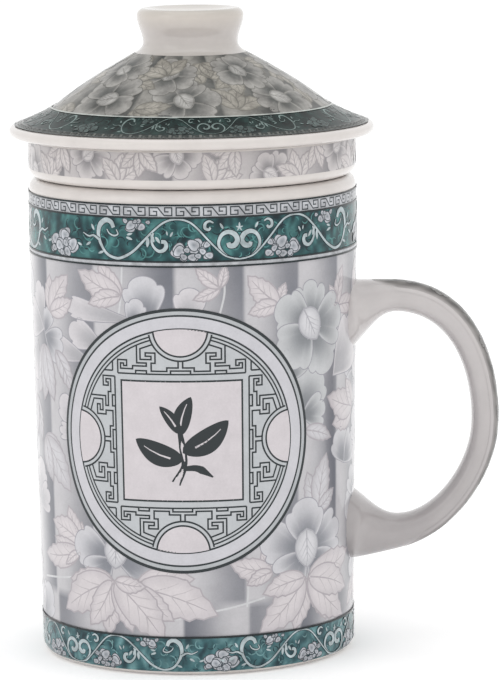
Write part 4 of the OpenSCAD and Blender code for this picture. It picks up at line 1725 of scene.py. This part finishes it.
# The softboxes: place and size in metres, and watts
LAMPS = {
    "left_softbox": ((-0.9, -0.8, 0.6), (0.7, 0.9), 1.0),
    "right_softbox": ((1.0, -0.5, 0.45), (0.5, 0.9), 0.1),
    "top_softbox": ((0.0, -0.1, 1.1), (1.0, 1.0), 1.6),
}


def camera():
    a = CAMERA_AZIMUTH
    right = Vector((math.cos(a), math.sin(a), 0))
    ahead = Vector((-math.sin(a), math.cos(a), 0))
    look = ahead * math.cos(CAMERA_PITCH) - Vector((0, 0, math.sin(CAMERA_PITCH)))
    place = right * CAMERA_SIDE - ahead * CAMERA_BACK + Vector((0, 0, CAMERA_UP))
    facing = Matrix((right, right.cross(look), -look)).transposed().to_4x4()
    roll = Matrix.Rotation(-CAMERA_ROLL, 4, "Z")
    data = bpy.data.cameras.new("camera")
    data.lens = LENS_PIXELS / FRAME_PIXELS * SENSOR
    data.sensor_width = SENSOR
    data.clip_end = FARTHEST
    eye = linked("camera", data)
    eye.matrix_world = Matrix.Translation(place) @ facing @ roll
    bpy.context.scene.camera = eye
    bpy.context.scene.view_settings.view_transform = "Standard"


def floor():
    """A wide floor of pale paper that stays as white as the photograph's ground."""
    deselect_all()
    bpy.ops.mesh.primitive_plane_add(size=FLOOR_SIZE, location=(0, FLOOR_BACK, 0))
    ground = bpy.context.object
    ground.name = "floor"
    paint = Paint("pale paper")
    grain = paint.span(paint.noise(30, 3), 0.3, 0.7)
    paper = paint.set(
        Base_Color=paint.mix(grain, *PAPER),
        Roughness=0.9,
        Emission_Color=WHITE,
        Emission_Strength=PAPER_GLOW,
    )
    ground.data.materials.append(paper)


def lights():
    """A plain bright studio and three softboxes."""
    world = bpy.data.worlds.new("studio")
    world.use_nodes = True
    sky = world.node_tree.nodes["Background"]
    sky.inputs["Color"].default_value = WHITE
    sky.inputs["Strength"].default_value = SKY_STRENGTH
    bpy.context.scene.world = world
    for name, (place, size, watts) in LAMPS.items():
        data = bpy.data.lights.new(name, "AREA")
        data.shape = "RECTANGLE"
        data.size, data.size_y = size
        data.energy = watts
        lamp = linked(name, data)
        lamp.location = place
        lamp.rotation_mode = "QUATERNION"
        lamp.rotation_quaternion = (LAMPS_AIM - Vector(place)).to_track_quat("-Z", "Y")


# ---------------------------------------------------------------- finishes and pieces

PLAIN = glazed("white porcelain", rgb(209, 203, 199))
# The knob's glaze, painted by height: shade in the corner at its foot, a warm painted highlight
# below its upper edge, and a painted dark reflection over that edge
KNOB_SHADED_GLAZE = glazed("knob porcelain with painted shade", painted_shade_by_height(
    (LAND_Z - 1, rgb(184, 179, 174)),
    (LAND_Z + 4, rgb(199, 192, 188)),
    (KNOB_TOP - KNOB_EDGE_R, rgb(204, 196, 188)),
    (KNOB_TOP - 0.1, rgb(182, 176, 168)),
))
# The handle's glaze is painted shade, darkening towards its foot
HANDLE_SHADED_GLAZE = glazed("handle porcelain with painted shade", painted_shade_by_height(
    (HANDLE_BOTTOM_Z, HANDLE_SHADE_LOW),
    (HANDLE_TOP_Z, HANDLE_SHADE_TOP),
))
STRIP_PRINT = glazed("printed strip glaze", printed, gloss=0.12, coat=0.1)
PRINT = glazed("printed glaze", printed, gloss=0.3, coat=0.25)
BORDER_PRINT = glazed("printed border glaze", clouded, gloss=0.2, coat=0.2)
LID_PRINT = glazed("printed lid glaze", clouded, gloss=0.08, coat=0.05)

camera()
floor()
lights()
turned("mug_shell", mug_section(), "mug", "mug_body", PLAIN)
turned("lid_dome", lid_section(), "lid", "lid", PLAIN)
turned("knob", knob_section(), "lid", "lid_knob", KNOB_SHADED_GLAZE)
handle()
infuser()
field_bars()
mug_field()
top_border()
foot_border()
coin(0.15, "coin_front")
coin(180.15, "coin_back")
lid_print()
collar_print()
handle_print()
